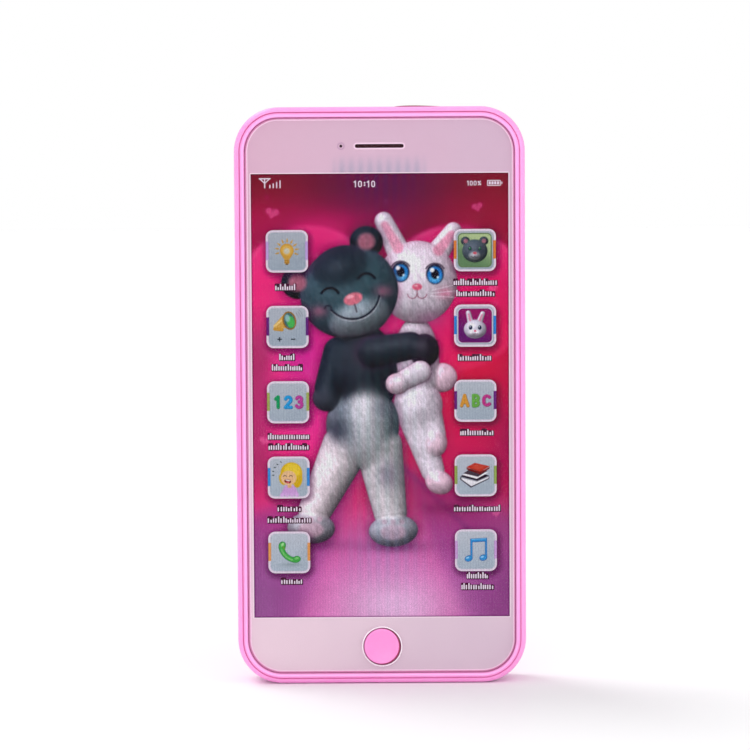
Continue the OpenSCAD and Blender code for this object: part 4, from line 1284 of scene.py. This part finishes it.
def icon_base(x, z, step, row, tab_colour):
    """Grey-blue tile with a pale rim and a coloured tab down each side; paler in lower rows."""
    drop = row / 4
    face = two_tone((156, 168, 180), (168, 174, 184), ramp(-5, 5, z)) + 17.0 * drop
    pic = Canvas(x, z, face, step)
    corner = tuple(k + 16 * drop for k in (150, 162, 174))
    pic.over(0.5 * ramp(0, 5, x - z), corner)
    edge = box(x, z, 0, 0, 5.23, 5.25, 1.75)
    pic.over(ramp(-0.60, -0.34, edge), (222, 208, 222))
    pic.over(0.5 * ramp(-0.25, 0.0, edge), (250, 230, 244))
    bright = tuple(min(255, k + 30) for k in tab_colour)
    for s in (-1, 1):
        pic.paint(
            (box, (s * 5.0, 0.15, 0.40, 2.3, 0.1), tab_colour, 0.12),
            (box, (s * 5.0, 0.15, 0.14, 2.2, 0.1), bright, 0.15, 0.5),
        )
    return pic


def art_bulb(pic):
    gold, brown = (198, 150, 62), (120, 84, 40)
    for degrees in range(-20, 201, 27):
        cos, sin = math.cos(math.radians(degrees)), math.sin(math.radians(degrees))
        ray = (2.25 * cos, 0.2 + 2.25 * sin, 2.95 * cos, 0.2 + 2.95 * sin, 0.22, 0.10)
        pic.paint((stroke, ray, gold, 0.1))
    pic.paint(
        (circle, (0, 0.2, 1.75), gold, 0.1),
        (polygon, ((-1.35, -0.9), (1.35, -0.9), (0.7, -2.0), (-0.7, -2.0)), gold, 0.15),
        (circle, (0, 0.2, 1.25), (214, 172, 84), 0.2),
        (circle, (-0.05, 0.05, 0.75), (196, 196, 184), 0.25, 0.9),
        (box, (0, -2.55, 0.62, 0.55, 0.15), (196, 146, 60), 0.1),
        (box, (0, -2.35, 0.66, 0.07), brown, 0.08, 0.8),
        (box, (0, -2.75, 0.66, 0.07), brown, 0.08, 0.8),
        (ellipse, (0, -3.2, 0.38, 0.2), brown, 0.1),
    )


def art_horn(pic):
    bell_end = ((-3.5, 0.35), (-1.0, 3.1), (1.6, 0.1), (-3.2, -0.75))
    ink = (28, 34, 44)
    pic.paint(
        (polygon, bell_end, (206, 160, 76), 0.12),
        (stroke, (-3.2, -0.5, -1.4, -0.7, 0.42), (196, 148, 64), 0.1),
        (stroke, (-3.3, 0.2, -1.6, 1.6, 0.25), (236, 208, 140), 0.2, 0.8),
        (ellipse, (0.5, 1.6, 1.7, 2.35, 12), (150, 104, 44), 0.1),
        (ellipse, (0.5, 1.6, 1.35, 2.0, 12), (70, 108, 110), 0.12),
        (ellipse, (0.85, 1.25, 0.95, 1.5, 12), (74, 176, 84), 0.25),
        (ellipse, (0.0, 2.2, 0.6, 0.95, 12), (150, 190, 190), 0.25, 0.85),
    )
    for k in range(3):
        ripple = (0.2, 1.7, 2.7 + 0.55 * k, 15, 42, 0.16)
        pic.paint((arc, ripple, (120, 126, 130), 0.1, 0.75))
    # plus and minus
    pic.paint(
        (box, (-2.0, -3.1, 0.55, 0.13), ink, 0.08),
        (box, (1.4, -3.1, 0.55, 0.13), ink, 0.08),
        (box, (-2.0, -3.1, 0.13, 0.55), ink, 0.08),
    )


def paint_glyph(pic, character, x, z, width, colour, soft):
    for kind, place in glyph_parts(character, x, z, height=2.6):
        if kind == "s":
            pic.paint((stroke, (*place, width / 2), colour, soft))
        else:
            pic.paint((arc, (*place, width), colour, soft))


def characters(pic, width, *rows):
    """Characters with a darker, wider copy behind; rows are character, x, colour."""
    for character, x, colour in rows:
        shade = tuple(k * 0.72 for k in colour)
        paint_glyph(pic, character, x + 0.08, 0.0, width + 0.14, shade, soft=0.14)
        paint_glyph(pic, character, x, 0.08, width, colour, soft=0.1)


def art_digits(pic):
    characters(
        pic, 0.70,
        ("1", -2.7, (34, 152, 92)), ("2", 0.0, (44, 150, 210)), ("3", 2.75, (184, 66, 150)),
    )


def art_letters(pic):
    characters(
        pic, 0.68,
        ("A", -2.75, (206, 146, 60)), ("B", 0.05, (104, 168, 72)), ("C", 2.75, (186, 56, 130)),
    )


def art_singer(pic):
    hair = (206, 168, 34)
    dress_shape = ((-0.9, -2.0), (1.5, -2.0), (2.6, -4.5), (-2.2, -4.5))
    pic.paint((polygon, dress_shape, (200, 156, 210), 0.15))
    for k in range(4):
        pic.paint((circle, (-1.7 + 1.25 * k, -4.4, 0.5), (212, 170, 220), 0.12))
    pic.paint(
        (box, (0.2, -2.0, 0.5, 0.6, 0.1), (214, 168, 120), 0.1),
        (ellipse, (0.7, 1.1, 2.75, 2.75), hair, 0.12),
        (ellipse, (2.3, -0.6, 1.15, 2.0, -8), hair, 0.15),
        (ellipse, (-1.5, -0.4, 0.9, 1.5, 14), hair, 0.15),
        (ellipse, (0.9, 1.7, 2.1, 1.9), (232, 204, 66), 0.5, 0.8),
        (ellipse, (0.0, -0.1, 1.95, 1.85), (226, 184, 138), 0.12),
        (arc, (-0.95, 0.1, 0.42, 25, 155, 0.16), (70, 50, 40), 0.08),
        (arc, (0.55, 0.1, 0.42, 25, 155, 0.16), (70, 50, 40), 0.08),
        (ellipse, (-0.25, -0.95, 0.85, 0.5, -12), (110, 26, 30), 0.1),
        (ellipse, (-0.22, -0.72, 0.6, 0.16, -12), (240, 236, 230), 0.08),
        (ellipse, (-0.2, -1.2, 0.4, 0.2, -12), (214, 100, 110), 0.08),
    )
    # short dashes up the left side: x, z, degrees
    for x, z, degrees in (
        (-4.0, 0.6, 5), (-4.0, 1.6, 15), (-3.6, 2.6, 30), (-2.9, 3.4, 45), (-2.0, 4.0, 60),
    ):
        cos, sin = math.cos(math.radians(degrees)), math.sin(math.radians(degrees))
        dash = (x, z, x + 0.28 * cos, z - 0.112 * sin, 0.13)
        pic.paint((stroke, dash, (50, 60, 60), 0.08, 0.9))


def art_handset(pic):
    light = (150, 212, 128)
    # handle width, amount the ends shrink, colour, softness: dark outline, then body
    for width, shrink, colour, soft in (
        (1.35, 0.0, (38, 116, 54), 0.1), (1.08, 0.135, (70, 170, 76), 0.12),
    ):
        pic.paint(
            (arc, (2.0, 2.1, 4.1, 190, 264, width), colour, soft),
            (ellipse, (-1.75, 1.75, 1.05 - shrink, 0.9 - shrink, 72), colour, soft),
            (ellipse, (1.85, -1.75, 1.05 - shrink, 0.85 - shrink, 14), colour, soft),
        )
    pic.paint(
        (arc, (2.0, 2.1, 4.2, 200, 252, 0.34), light, 0.2, 0.7),
        (ellipse, (-1.7, 2.0, 0.5, 0.32, 60), (190, 232, 170), 0.2, 0.8),
        (ellipse, (-1.35, 1.2, 0.22, 0.55, 40), (120, 150, 50), 0.2, 0.7),
        (ellipse, (1.9, -1.5, 0.55, 0.26, 10), light, 0.2, 0.7),
    )
    pic.glow((0.25, 0.5, -3.1, 2.6, 0.4, (80, 100, 90)))


def portrait(pic, low, high, border, forms, **lighting):
    """A framed two-tone square with a plush head in it."""
    frame_edge = box(pic.x, pic.z, 0, 0, 4.0, 4.05, 0.9)
    pic.fill(frame_edge - 0.25, border, 0.1)
    field = two_tone(low, high, ramp(-3.5, 3.5, pic.z + 0.5 * pic.x))
    pic.over(1 - ramp(-0.1, 0.1, frame_edge), field)
    head = Plush(pic, 3.2, *forms)
    shown = (1 - ramp(-0.1, 0.1, head.distance)) * (1 - ramp(-0.1, 0.05, frame_edge))
    pic.over(shown, head.shade(**lighting))


def art_bear(pic):
    fur, muzzle, mouth = (58, 66, 78), (176, 176, 184), (60, 54, 64)
    forms = (
        ("ball", -2.35, 2.3, 1.15, 1.1, 1.0, -0.6, fur),
        ("ball", 2.25, 2.3, 1.15, 1.1, 1.0, -0.6, fur),
        ("ball", 0, -0.2, 3.2, 2.9, 2.6, 0, (74, 84, 98)),
        ("ball", 0, -1.35, 1.75, 1.25, 2.4, 0.75, muzzle),
    )
    portrait(pic, (98, 132, 92), (172, 190, 140), (92, 118, 72), forms, rim=(150, 190, 140))
    for s in (-1, 1):
        pic.paint(
            (circle, (s * 2.3, 2.3, 0.55), (180, 110, 124), 0.15, 0.8),
            (ellipse, (s * 1.25, 0.45, 0.42, 0.5), (16, 20, 26), 0.08),
            (ellipse, (s * 1.25, 0.45, 0.24, 0.3), (40, 130, 84), 0.08),
            (circle, (s * 1.25 - 0.12, 0.62, 0.1), (230, 250, 240), 0.05),
        )
    pic.paint(
        (ellipse, (0, -0.75, 0.5, 0.34), (200, 90, 106), 0.08),
        (arc, (-0.42, -1.4, 0.45, 195, 350, 0.13), mouth, 0.06),
        (arc, (0.42, -1.4, 0.45, 190, 345, 0.13), mouth, 0.06),
    )


def art_rabbit(pic):
    fur, cheek, lining, mouth = (204, 200, 214), (214, 208, 220), (214, 130, 160), (120, 90, 110)
    pic.paint((box, (0, 0, 4.4, 4.4, 1.1), (228, 218, 232), 0.1))
    forms = (
        ("limb", -1.2, 1.0, -1.7, 3.2, 0.75, 0.62, 0, -0.3, fur),
        ("limb", 1.1, 1.0, 1.9, 3.0, 0.75, 0.62, 0, -0.3, fur),
        ("ball", 0, -0.9, 2.85, 2.4, 2.4, 0, fur),
        ("ball", -0.7, -1.9, 1.3, 0.95, 2.2, 0.5, cheek),
        ("ball", 0.7, -1.9, 1.3, 0.95, 2.2, 0.5, cheek),
    )
    look = {"rim": (200, 110, 200), "ambient": 0.42}
    portrait(pic, (96, 24, 104), (150, 20, 96), (120, 24, 96), forms, **look)
    pic.paint(
        (stroke, (-1.25, 1.4, -1.6, 2.9, 0.34, 0.24), lining, 0.15, 0.85),
        (stroke, (1.2, 1.4, 1.8, 2.7, 0.34, 0.24), lining, 0.15, 0.85),
    )
    for s in (-1, 1):
        pic.paint(
            (ellipse, (s * 1.15, -0.5, 0.45, 0.55), (30, 40, 70), 0.08),
            (circle, (s * 1.15 - 0.13, -0.3, 0.13), (235, 245, 255), 0.05),
        )
    pic.paint(
        (ellipse, (0, -1.35, 0.34, 0.24), (220, 100, 130), 0.08),
        (arc, (-0.3, -1.85, 0.32, 195, 350, 0.1), mouth, 0.06),
        (arc, (0.3, -1.85, 0.32, 190, 345, 0.1), mouth, 0.06),
    )


# from the bottom up: colour, softness, opacity, corners
BOOKS = (
    ((60, 54, 66), 0.1, 1,
     ((-3.9, -0.4), (0.3, -1.5), (3.4, -0.2), (3.4, -0.9), (-1.2, -3.1), (-3.9, -1.0))),
    ((232, 230, 234), 0.1, 1,
     ((-3.6, -0.55), (0.3, -1.55), (3.3, -0.3), (3.2, -0.75), (-1.1, -2.75), (-3.6, -0.95))),
    ((46, 36, 50), 0.1, 1, ((-3.9, -0.25), (-1.3, 1.4), (3.4, -0.05), (0.4, -1.4))),
    ((238, 234, 236), 0.1, 1, ((-3.4, 0.15), (-1.2, 1.5), (3.2, 0.75), (0.3, -0.85))),
    ((70, 56, 66), 0.1, 1, ((-3.1, 0.55), (-1.3, 1.7), (3.0, 1.15), (0.6, -0.35))),
    ((120, 26, 26), 0.1, 1,
     ((-2.3, 2.0), (1.1, 0.75), (3.5, 2.1), (3.5, 1.7), (1.1, 0.3), (-2.2, 1.5))),
    ((184, 52, 40), 0.1, 1, ((-2.3, 2.1), (-0.2, 3.2), (3.55, 2.3), (1.15, 0.85))),
    ((206, 84, 64), 0.3, 0.7, ((-1.2, 2.1), (0.2, 2.8), (2.5, 2.25), (1.0, 1.4))),
)


def art_books(pic):
    for colour, soft, opacity, corners in BOOKS:
        pic.paint((polygon, corners, colour, soft, opacity))


def art_notes(pic):
    # dark outline, then the same shapes a little smaller
    for colour, w in (((26, 84, 150), 0.0), ((56, 142, 206), -0.14)):
        beam = ((-1.4 - w, 2.0 - w), (2.8 + w, 2.2 - w), (2.8 + w, 3.15 + w), (-1.4 - w, 2.95 + w))
        pic.paint(
            (stroke, (-1.15, 2.7, -1.15, -2.0, 0.26 + w * 0.7), colour, 0.08),
            (stroke, (2.55, 2.9, 2.55, -1.8, 0.26 + w * 0.7), colour, 0.08),
            (polygon, beam, colour, 0.08),
            (ellipse, (-1.85, -2.1, 1.0 + w, 0.78 + w, 18), colour, 0.08),
            (ellipse, (1.85, -1.9, 1.0 + w, 0.78 + w, 18), colour, 0.08),
        )
    pic.paint(
        (box, (0.7, 2.85, 1.8, 0.1, 0, 2.7), (140, 206, 240), 0.12, 0.8),
        (ellipse, (-2.1, -1.9, 0.42, 0.22, 18), (170, 220, 246), 0.15, 0.85),
        (ellipse, (1.6, -1.7, 0.42, 0.22, 18), (170, 220, 246), 0.15, 0.85),
    )


# left and right column from the top down: name, tab colour, art
ICONS = (
    (
        ("bulb", (180, 150, 206), art_bulb), ("horn", (90, 30, 110), art_horn),
        ("digits", (150, 160, 80), art_digits), ("singer", (50, 130, 200), art_singer),
        ("handset", (216, 146, 80), art_handset),
    ),
    (
        ("bear", (206, 116, 50), art_bear), ("rabbit", (40, 120, 196), art_rabbit),
        ("letters", (96, 30, 110), art_letters), ("books", (140, 160, 80), art_books),
        ("notes", (196, 150, 206), art_notes),
    ),
)


def icon_tile(name, side, row, tab_colour, art):
    """A rounded tile whose points follow its outline."""
    half_x, half_z, radius = 5.28, 5.30, 1.80
    count = 109
    heights = np.linspace(-half_z, half_z, count)
    over = np.clip(np.abs(heights) - (half_z - radius), 0, radius)
    widths = half_x - (radius - np.sqrt(np.clip(radius * radius - over * over, 0, None)))
    x = np.linspace(-1, 1, count)[None, :] * widths[:, None]
    z = np.repeat(heights[:, None], count, 1)
    pic = icon_base(x, z, 2 * half_x / (count - 1), row, tab_colour)
    art(pic)
    colours = np.clip(pic.colours, 0, 255)
    add_painted_grid("icon_" + name, ICON_X[side] + x, Y_ICON, ICON_Z[side][row] + z, colours)


for side, column in enumerate(ICONS):
    for row, (name, tab_colour, art) in enumerate(column):
        icon_tile(name, side, row, tab_colour, art)

# ---------------------------------------------------------------- status marks and captions


def arc_points(x, z, radius, start, sweep, steps):
    angles = [math.radians(start + sweep * k / steps) for k in range(steps + 1)]
    return [(x + radius * math.cos(a), z + radius * math.sin(a)) for a in angles]


class Marks:
    """Flat printed shapes in one mesh, facing -Y."""

    def __init__(self):
        self.points, self.faces = [], []

    def outline(self, corners, y):
        first = len(self.points)
        self.points += [(x, y, z) for x, z in corners]
        self.faces.append(list(range(first, first + len(corners))))

    def capsule(self, x1, z1, x2, z2, radius, y):
        turn = math.degrees(math.atan2(z2 - z1, x2 - x1))
        far_end = arc_points(x2, z2, radius, turn - 90, 180, 6)
        self.outline(far_end + arc_points(x1, z1, radius, turn + 90, 180, 6), y)

    def bar(self, x, z, half_x, half_z, radius, y):
        """Rounded bar."""
        radius = min(radius, half_x, half_z)
        in_x, in_z = half_x - radius, half_z - radius
        corners = []
        for s, t, start in ((1, -1, -90), (1, 1, 0), (-1, 1, 90), (-1, -1, 180)):
            corners += arc_points(x + s * in_x, z + t * in_z, radius, start, 90, 4)
        self.outline(corners, y)

    def text(self, x, z, height, rows):
        """Characters from x rightwards; rows are character, advance, stroke width."""
        for character, advance, width in rows:
            for j, (kind, place) in enumerate(glyph_parts(character, x, z, height)):
                y = Y_MARK - 0.0002 * j
                if kind == "s":
                    self.capsule(*place, width / 2, y)
                else:
                    self.ring(*place, width, y)
            x += advance

    def ring(self, x, z, radius, start, end, width, y):
        """Arc stroke made of four-sided pieces."""
        sweep = end - start
        steps = max(4, int(abs(sweep) / 22))
        outer = arc_points(x, z, radius + width / 2, start, sweep, steps)
        inner = arc_points(x, z, radius - width / 2, start, sweep, steps)
        for q in range(steps):
            self.outline([outer[q], outer[q + 1], inner[q + 1], inner[q]], y)

    def build(self, name, material):
        add_mesh(name, self.points, self.faces, material)


def ink(name, first, second):
    """Flat print colour with grain and the sheet's fine upright lines."""
    mat = Surface(name, rough=0.5, spec=0.08)
    x, y, z = mat.xyz()
    grain = mat.noise(0.18, rough=0.6)
    lines = x.stripes(PRINT_PITCH)
    mat.ground(grain.ramp(0.3, 0.7) * 0.7 + lines * 0.2, first, second)
    mat.bump(grain, depth=0.002, strength=0.3)
    return mat.material


INK_WHITE = ink("ink_white", (236, 222, 234), (206, 190, 210))
INK_DARK = ink("ink_dark", (48, 6, 36), (84, 14, 56))

# x1, z1, x2, z2, radius, distance in front of Y_MARK
STATUS_STROKES = (
    # aerial: bar, two arms and a mast
    (-30.15, 127.75, -27.45, 127.75, 0.15, 0), (-30.0, 127.7, -28.8, 126.6, 0.13, 0.0004),
    (-27.6, 127.7, -28.8, 126.6, 0.13, 0.0006), (-28.8, 127.6, -28.8, 125.5, 0.15, 0.0008),
    # four rising bars
    (-27.5, 125.5, -27.5, 126.1, 0.15, 0), (-26.65, 125.5, -26.65, 126.45, 0.15, 0),
    (-25.8, 125.5, -25.8, 126.8, 0.15, 0), (-24.95, 125.5, -24.95, 127.2, 0.15, 0),
)
# battery shell: x1, z1, x2, z2
BATTERY_SHELL = (
    (27.1, 127.0, 30.3, 127.0), (27.1, 125.75, 30.3, 125.75),
    (27.1, 125.75, 27.1, 127.0), (30.3, 125.75, 30.3, 127.0),
)
# character, advance, stroke width
CLOCK = (("1", 1.2, 0.27), ("0", 1.15, 0.27), (":", 0.95, 0.40), ("1", 1.2, 0.27), ("0", 1.2, 0.27))
CHARGE = (("1", 0.8, 0.2), ("0", 0.98, 0.2), ("0", 1.08, 0.2), ("%", 1.0, 0.2))


def add_status_marks():
    status = Marks()
    for *place, lift in STATUS_STROKES:
        status.capsule(*place, Y_MARK - lift)
    status.text(-6.1, 126.3, 1.46, CLOCK)
    status.text(22.2, 126.35, 1.1, CHARGE)
    for place in BATTERY_SHELL:
        status.capsule(*place, 0.1, Y_MARK)
    # battery tip, then its level
    status.bar(30.68, 126.38, 0.14, 0.3, 0.12, Y_MARK)
    for k in range(4):
        status.bar(27.65 + 0.7 * k, 126.38, 0.26, 0.38, 0.08, Y_MARK - 0.0004)
    status.build("status_marks", INK_WHITE)


# caption lines: centre x, base z, width
CAPTIONS = (
    (-23.8549, 100.3788, 5.054), (-23.6022, 82.7528, 3.7905), (-23.6022, 80.1089, 7.581),
    (-23.3495, 62.7347, 10.3607), (-23.3495, 60.0908, 10.108), (-23.3495, 44.4792, 5.8121),
    (-23.3495, 41.5835, 10.8661), (-22.8441, 25.9719, 5.3067), (23.9054, 101.386, 10.8661),
    (23.9054, 98.6162, 9.6026), (23.6527, 82.3751, 8.3391), (24.1581, 63.4901, 8.3391),
    (24.1581, 44.2274, 11.6242), (24.1581, 27.105, 5.3067), (24.1581, 24.3352, 8.0864),
)
LETTER_WIDTHS = [0.36, 0.86, 1.02]
LETTER_GAP = 0.22
SINGLE_BELOW = 0.6  # narrower letters have one stroke


def add_captions():
    """Rows of plain upright strokes in place of words, white on a dark ground."""
    white, dark = Marks(), Marks()
    rng = np.random.RandomState(11)
    for at_x, z, width in CAPTIONS:
        letters = []
        while sum(k[0] for k in letters) + LETTER_GAP * len(letters) < width - 0.5:
            letters.append((rng.choice(LETTER_WIDTHS), rng.rand() < 0.3, rng.randint(4)))
        total = sum(k[0] for k in letters) + LETTER_GAP * (len(letters) - 1)
        x, scale = at_x - width / 2, width / total
        for i, (wide, tall, kind) in enumerate(letters):
            wide *= scale
            low, high = z - 0.62, z + (0.98 if tall or i == 0 else 0.52)
            shadow_y = Y_MARK_SHADOW - 0.00001 * len(dark.faces)
            middle, half_z = (low + high) / 2, (high - low) / 2
            dark.bar(
                x + wide / 2 + 0.08, middle - 0.07, wide / 2 + 0.20, half_z + 0.17, 0.3, shadow_y
            )
            # strokes: x and top
            if wide < SINGLE_BELOW:
                strokes = ((x + wide / 2, high),)
            else:
                tops = (
                    (high, z + 0.30), (z + 0.52, high), (z + 0.40, z + 0.52), (z + 0.52, z + 0.18)
                )[kind]
                strokes = ((x + 0.18, tops[0]), (x + wide - 0.18, tops[1]))
            for stroke_x, top in strokes:
                white.capsule(stroke_x, low + 0.16, stroke_x, top - 0.16, 0.17, Y_MARK)
            x += wide + LETTER_GAP * scale
    dark.build("caption_shadow", INK_DARK)
    white.build("captions", INK_WHITE)


add_status_marks()
add_captions()

# ---------------------------------------------------------------- ribbed clear sheet

RIB_PITCH, RIB_STEPS = 0.34, 4
LENS_HALF_X, LENS_Z0, LENS_Z1, LENS_RADIUS = 33.88, 2.62, 142.98, 8.58
HOLE_RADIUS = 4.80
Y_BACK, Y_VALLEY, Y_CREST = -6.69, -7.27, -7.345


def rib_columns():
    """Positions of the mesh columns, including the sheet's sides and the hole's."""
    ribs = int(round(LENS_HALF_X / RIB_PITCH))
    regular = np.arange(-ribs, ribs + 1e-9, 1.0 / RIB_STEPS) * RIB_PITCH
    ends = [-LENS_HALF_X, LENS_HALF_X, -HOLE_RADIUS, HOLE_RADIUS]
    places = np.unique(np.round(np.concatenate([regular, ends]), 6))
    places = places[np.abs(places) <= LENS_HALF_X + 1e-9]
    kept = [places[0]]
    for x in places[1:]:
        if x - kept[-1] > 0.02 or abs(abs(x) - HOLE_RADIUS) < 1e-6 or x == places[-1]:
            kept.append(x)
    return kept


def corner_drop(x):
    """How far the rounded outline lies inside the straight top or bottom edge."""
    over = max(0.0, abs(x) - (LENS_HALF_X - LENS_RADIUS))
    return LENS_RADIUS - math.sqrt(max(0.0, LENS_RADIUS * LENS_RADIUS - over * over))


def rib_front(x):
    t = (x / RIB_PITCH) % 1.0
    return Y_VALLEY + (Y_CREST - Y_VALLEY) * math.sqrt(max(0.0, 1 - (2 * t - 1) ** 2 * 0.98))


def ribbed_lens():
    """The sheet in front of the print: upright round ribs, rounded outline, button hole."""
    points, faces = [], []

    def strip(low, high, columns, cap=None):
        """Plank over the columns: ribbed front, flat back, closed at the end named by cap."""
        base = len(points)
        for x in columns:
            y, z0, z1 = rib_front(x), low(x), high(x)
            points.extend([(x, y, z0), (x, y, z1), (x, Y_BACK, z1), (x, Y_BACK, z0)])
        last = base + 4 * (len(columns) - 1)
        for p in range(base, last, 4):
            q = p + 4
            for m in range(4):
                n = (m + 1) % 4
                faces.append([p + n, q + n, q + m, p + m])
        if cap == "left":
            faces.append([base + m for m in (0, 1, 2, 3)])
        if cap == "right":
            faces.append([last + m for m in (3, 2, 1, 0)])

    def bottom(x):
        return LENS_Z0 + corner_drop(x)

    def top(x):
        return LENS_Z1 - corner_drop(x)

    def hole(x):
        return math.sqrt(max(0.0, HOLE_RADIUS * HOLE_RADIUS - x * x))

    columns = rib_columns()
    strip(bottom, top, [x for x in columns if x <= -HOLE_RADIUS + 1e-9], "left")
    strip(bottom, top, [x for x in columns if x >= HOLE_RADIUS - 1e-9], "right")
    # finer columns near the hole's sides, where its edge runs upright
    middle = [x for x in columns if abs(x) <= HOLE_RADIUS + 1e-9]
    fine = [s * HOLE_RADIUS * math.cos(a) for a in np.linspace(0, 0.35, 6) for s in (-1, 1)]
    middle = np.unique(np.round(middle + fine, 5))
    strip(bottom, lambda x: BUTTON_Z - hole(x), middle)
    strip(lambda x: BUTTON_Z + hole(x), top, middle)
    lens = add_mesh("ribbed_lens", points, faces, MATS["ribbed_sheet"])
    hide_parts("lenticular_sheet")


ribbed_lens()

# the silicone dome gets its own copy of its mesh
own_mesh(nodes["button_dome"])

# ---------------------------------------------------------------- floor, light, camera

FLOOR_RADII = (150, 400, 1000, 2500, 6000)
FLOOR_SIDES = 60


def floor():
    """Pale paper disc, just below the phone."""
    mat = Surface("floor_paper", rough=0.55, spec=0.25)
    grain = mat.noise(1.4, detail=3.0, rough=0.6)
    mat.ground(grain * 0.5, (247, 247, 248), (243, 243, 245))
    mat.bump(grain, depth=0.02, strength=0.2)
    points = [(0, -0.35)]
    for radius in FLOOR_RADII:
        for i in range(FLOOR_SIDES):
            turn = 2 * math.pi * i / FLOOR_SIDES
            points.append((radius * math.cos(turn), radius * math.sin(turn)))
    sides = [(i, (i + 1) % FLOOR_SIDES) for i in range(FLOOR_SIDES)]
    faces = [[0, 1 + i, 1 + k] for i, k in sides]
    for ring in range(len(FLOOR_RADII) - 1):
        inner = 1 + ring * FLOOR_SIDES
        outer = inner + FLOOR_SIDES
        faces += [[inner + i, outer + i, outer + k, inner + k] for i, k in sides]
    mesh = bpy.data.meshes.new("studio_floor")
    mesh.from_pydata([(x * MM, y * MM, -0.0001) for x, y in points], [], faces)
    mesh.materials.append(mat.material)
    made = bpy.data.objects.new("studio_floor", mesh)
    bpy.context.scene.collection.objects.link(made)


def add_light(kind, name, place, target=(0, 0, 0), **settings):
    """A light at a place in metres, turned to a target."""
    light = bpy.data.lights.new(name, kind)
    for key, value in settings.items():
        setattr(light, key, value)
    made = bpy.data.objects.new(name, light)
    made.location = place
    made.rotation_mode = "QUATERNION"
    made.rotation_quaternion = (Vector(target) - Vector(place)).to_track_quat("-Z", "Y")
    bpy.context.scene.collection.objects.link(made)


def add_world():
    """A big bright room in front, dimmer behind; plain white to the camera."""
    world = bpy.data.worlds.new("studio")
    bpy.context.scene.world = world
    world.use_nodes = True
    tree = world.node_tree
    tree.nodes.clear()
    out = tree.nodes.new("ShaderNodeOutputWorld")
    room = tree.nodes.new("ShaderNodeBackground")
    backdrop = tree.nodes.new("ShaderNodeBackground")
    mixer = tree.nodes.new("ShaderNodeMixShader")
    path = tree.nodes.new("ShaderNodeLightPath")
    coords = tree.nodes.new("ShaderNodeTexCoord")
    split = tree.nodes.new("ShaderNodeSeparateXYZ")
    fade = tree.nodes.new("ShaderNodeMapRange")
    limits = {"From Min": -1.0, "From Max": 1.0, "To Min": 0.98, "To Max": 0.64}
    for key, value in limits.items():
        fade.inputs[key].default_value = value
    for background in (room, backdrop):
        background.inputs[0].default_value = (1, 1, 1, 1)
    backdrop.inputs[1].default_value = 1.0
    for start, end in (
        (coords.outputs["Generated"], split.inputs[0]),
        (split.outputs[1], fade.inputs["Value"]),
        (fade.outputs["Result"], room.inputs[1]),
        (path.outputs["Is Camera Ray"], mixer.inputs[0]),
        (room.outputs[0], mixer.inputs[1]),
        (backdrop.outputs[0], mixer.inputs[2]),
        (mixer.outputs[0], out.inputs[0]),
    ):
        tree.links.new(start, end)


def add_camera():
    """In front of the phone, looking slightly down; metres and radians."""
    view_angle = math.radians(14.35)
    pitch, roll = math.radians(3.9), math.radians(0.35)
    distance = 0.7572
    aim = Vector((-0.00142, 0.0, 0.0778))
    camera = bpy.data.cameras.new("camera")
    made = bpy.data.objects.new("camera", camera)
    bpy.context.scene.collection.objects.link(made)
    bpy.context.scene.camera = made
    camera.sensor_width = 36.0
    camera.lens = camera.sensor_width / 2 / math.tan(view_angle / 2)
    camera.clip_start = 0.02
    camera.clip_end = 20.0
    back = Vector((0.0, -math.cos(pitch), math.sin(pitch)))
    made.location = aim + back * distance
    made.rotation_mode = "QUATERNION"
    level = (-back).to_track_quat("-Z", "Y")
    made.rotation_quaternion = level @ Matrix.Rotation(-roll, 4, "Z").to_quaternion()


floor()
add_light("SUN", "key", (-0.55, 0.42, 0.95), energy=1.2, angle=math.radians(34))
add_light("SUN", "front", (-0.15, -1.0, 0.5), energy=0.5, angle=math.radians(50))
add_light(
    "AREA", "right", (0.9, -0.6, 0.3), target=(0, 0, 0.07),
    energy=1.6, shape="RECTANGLE", size=0.5, size_y=0.8,
)
add_world()
view = bpy.context.scene.view_settings
view.view_transform = "Standard"
view.look = "None"
view.exposure = 0.0
add_camera()
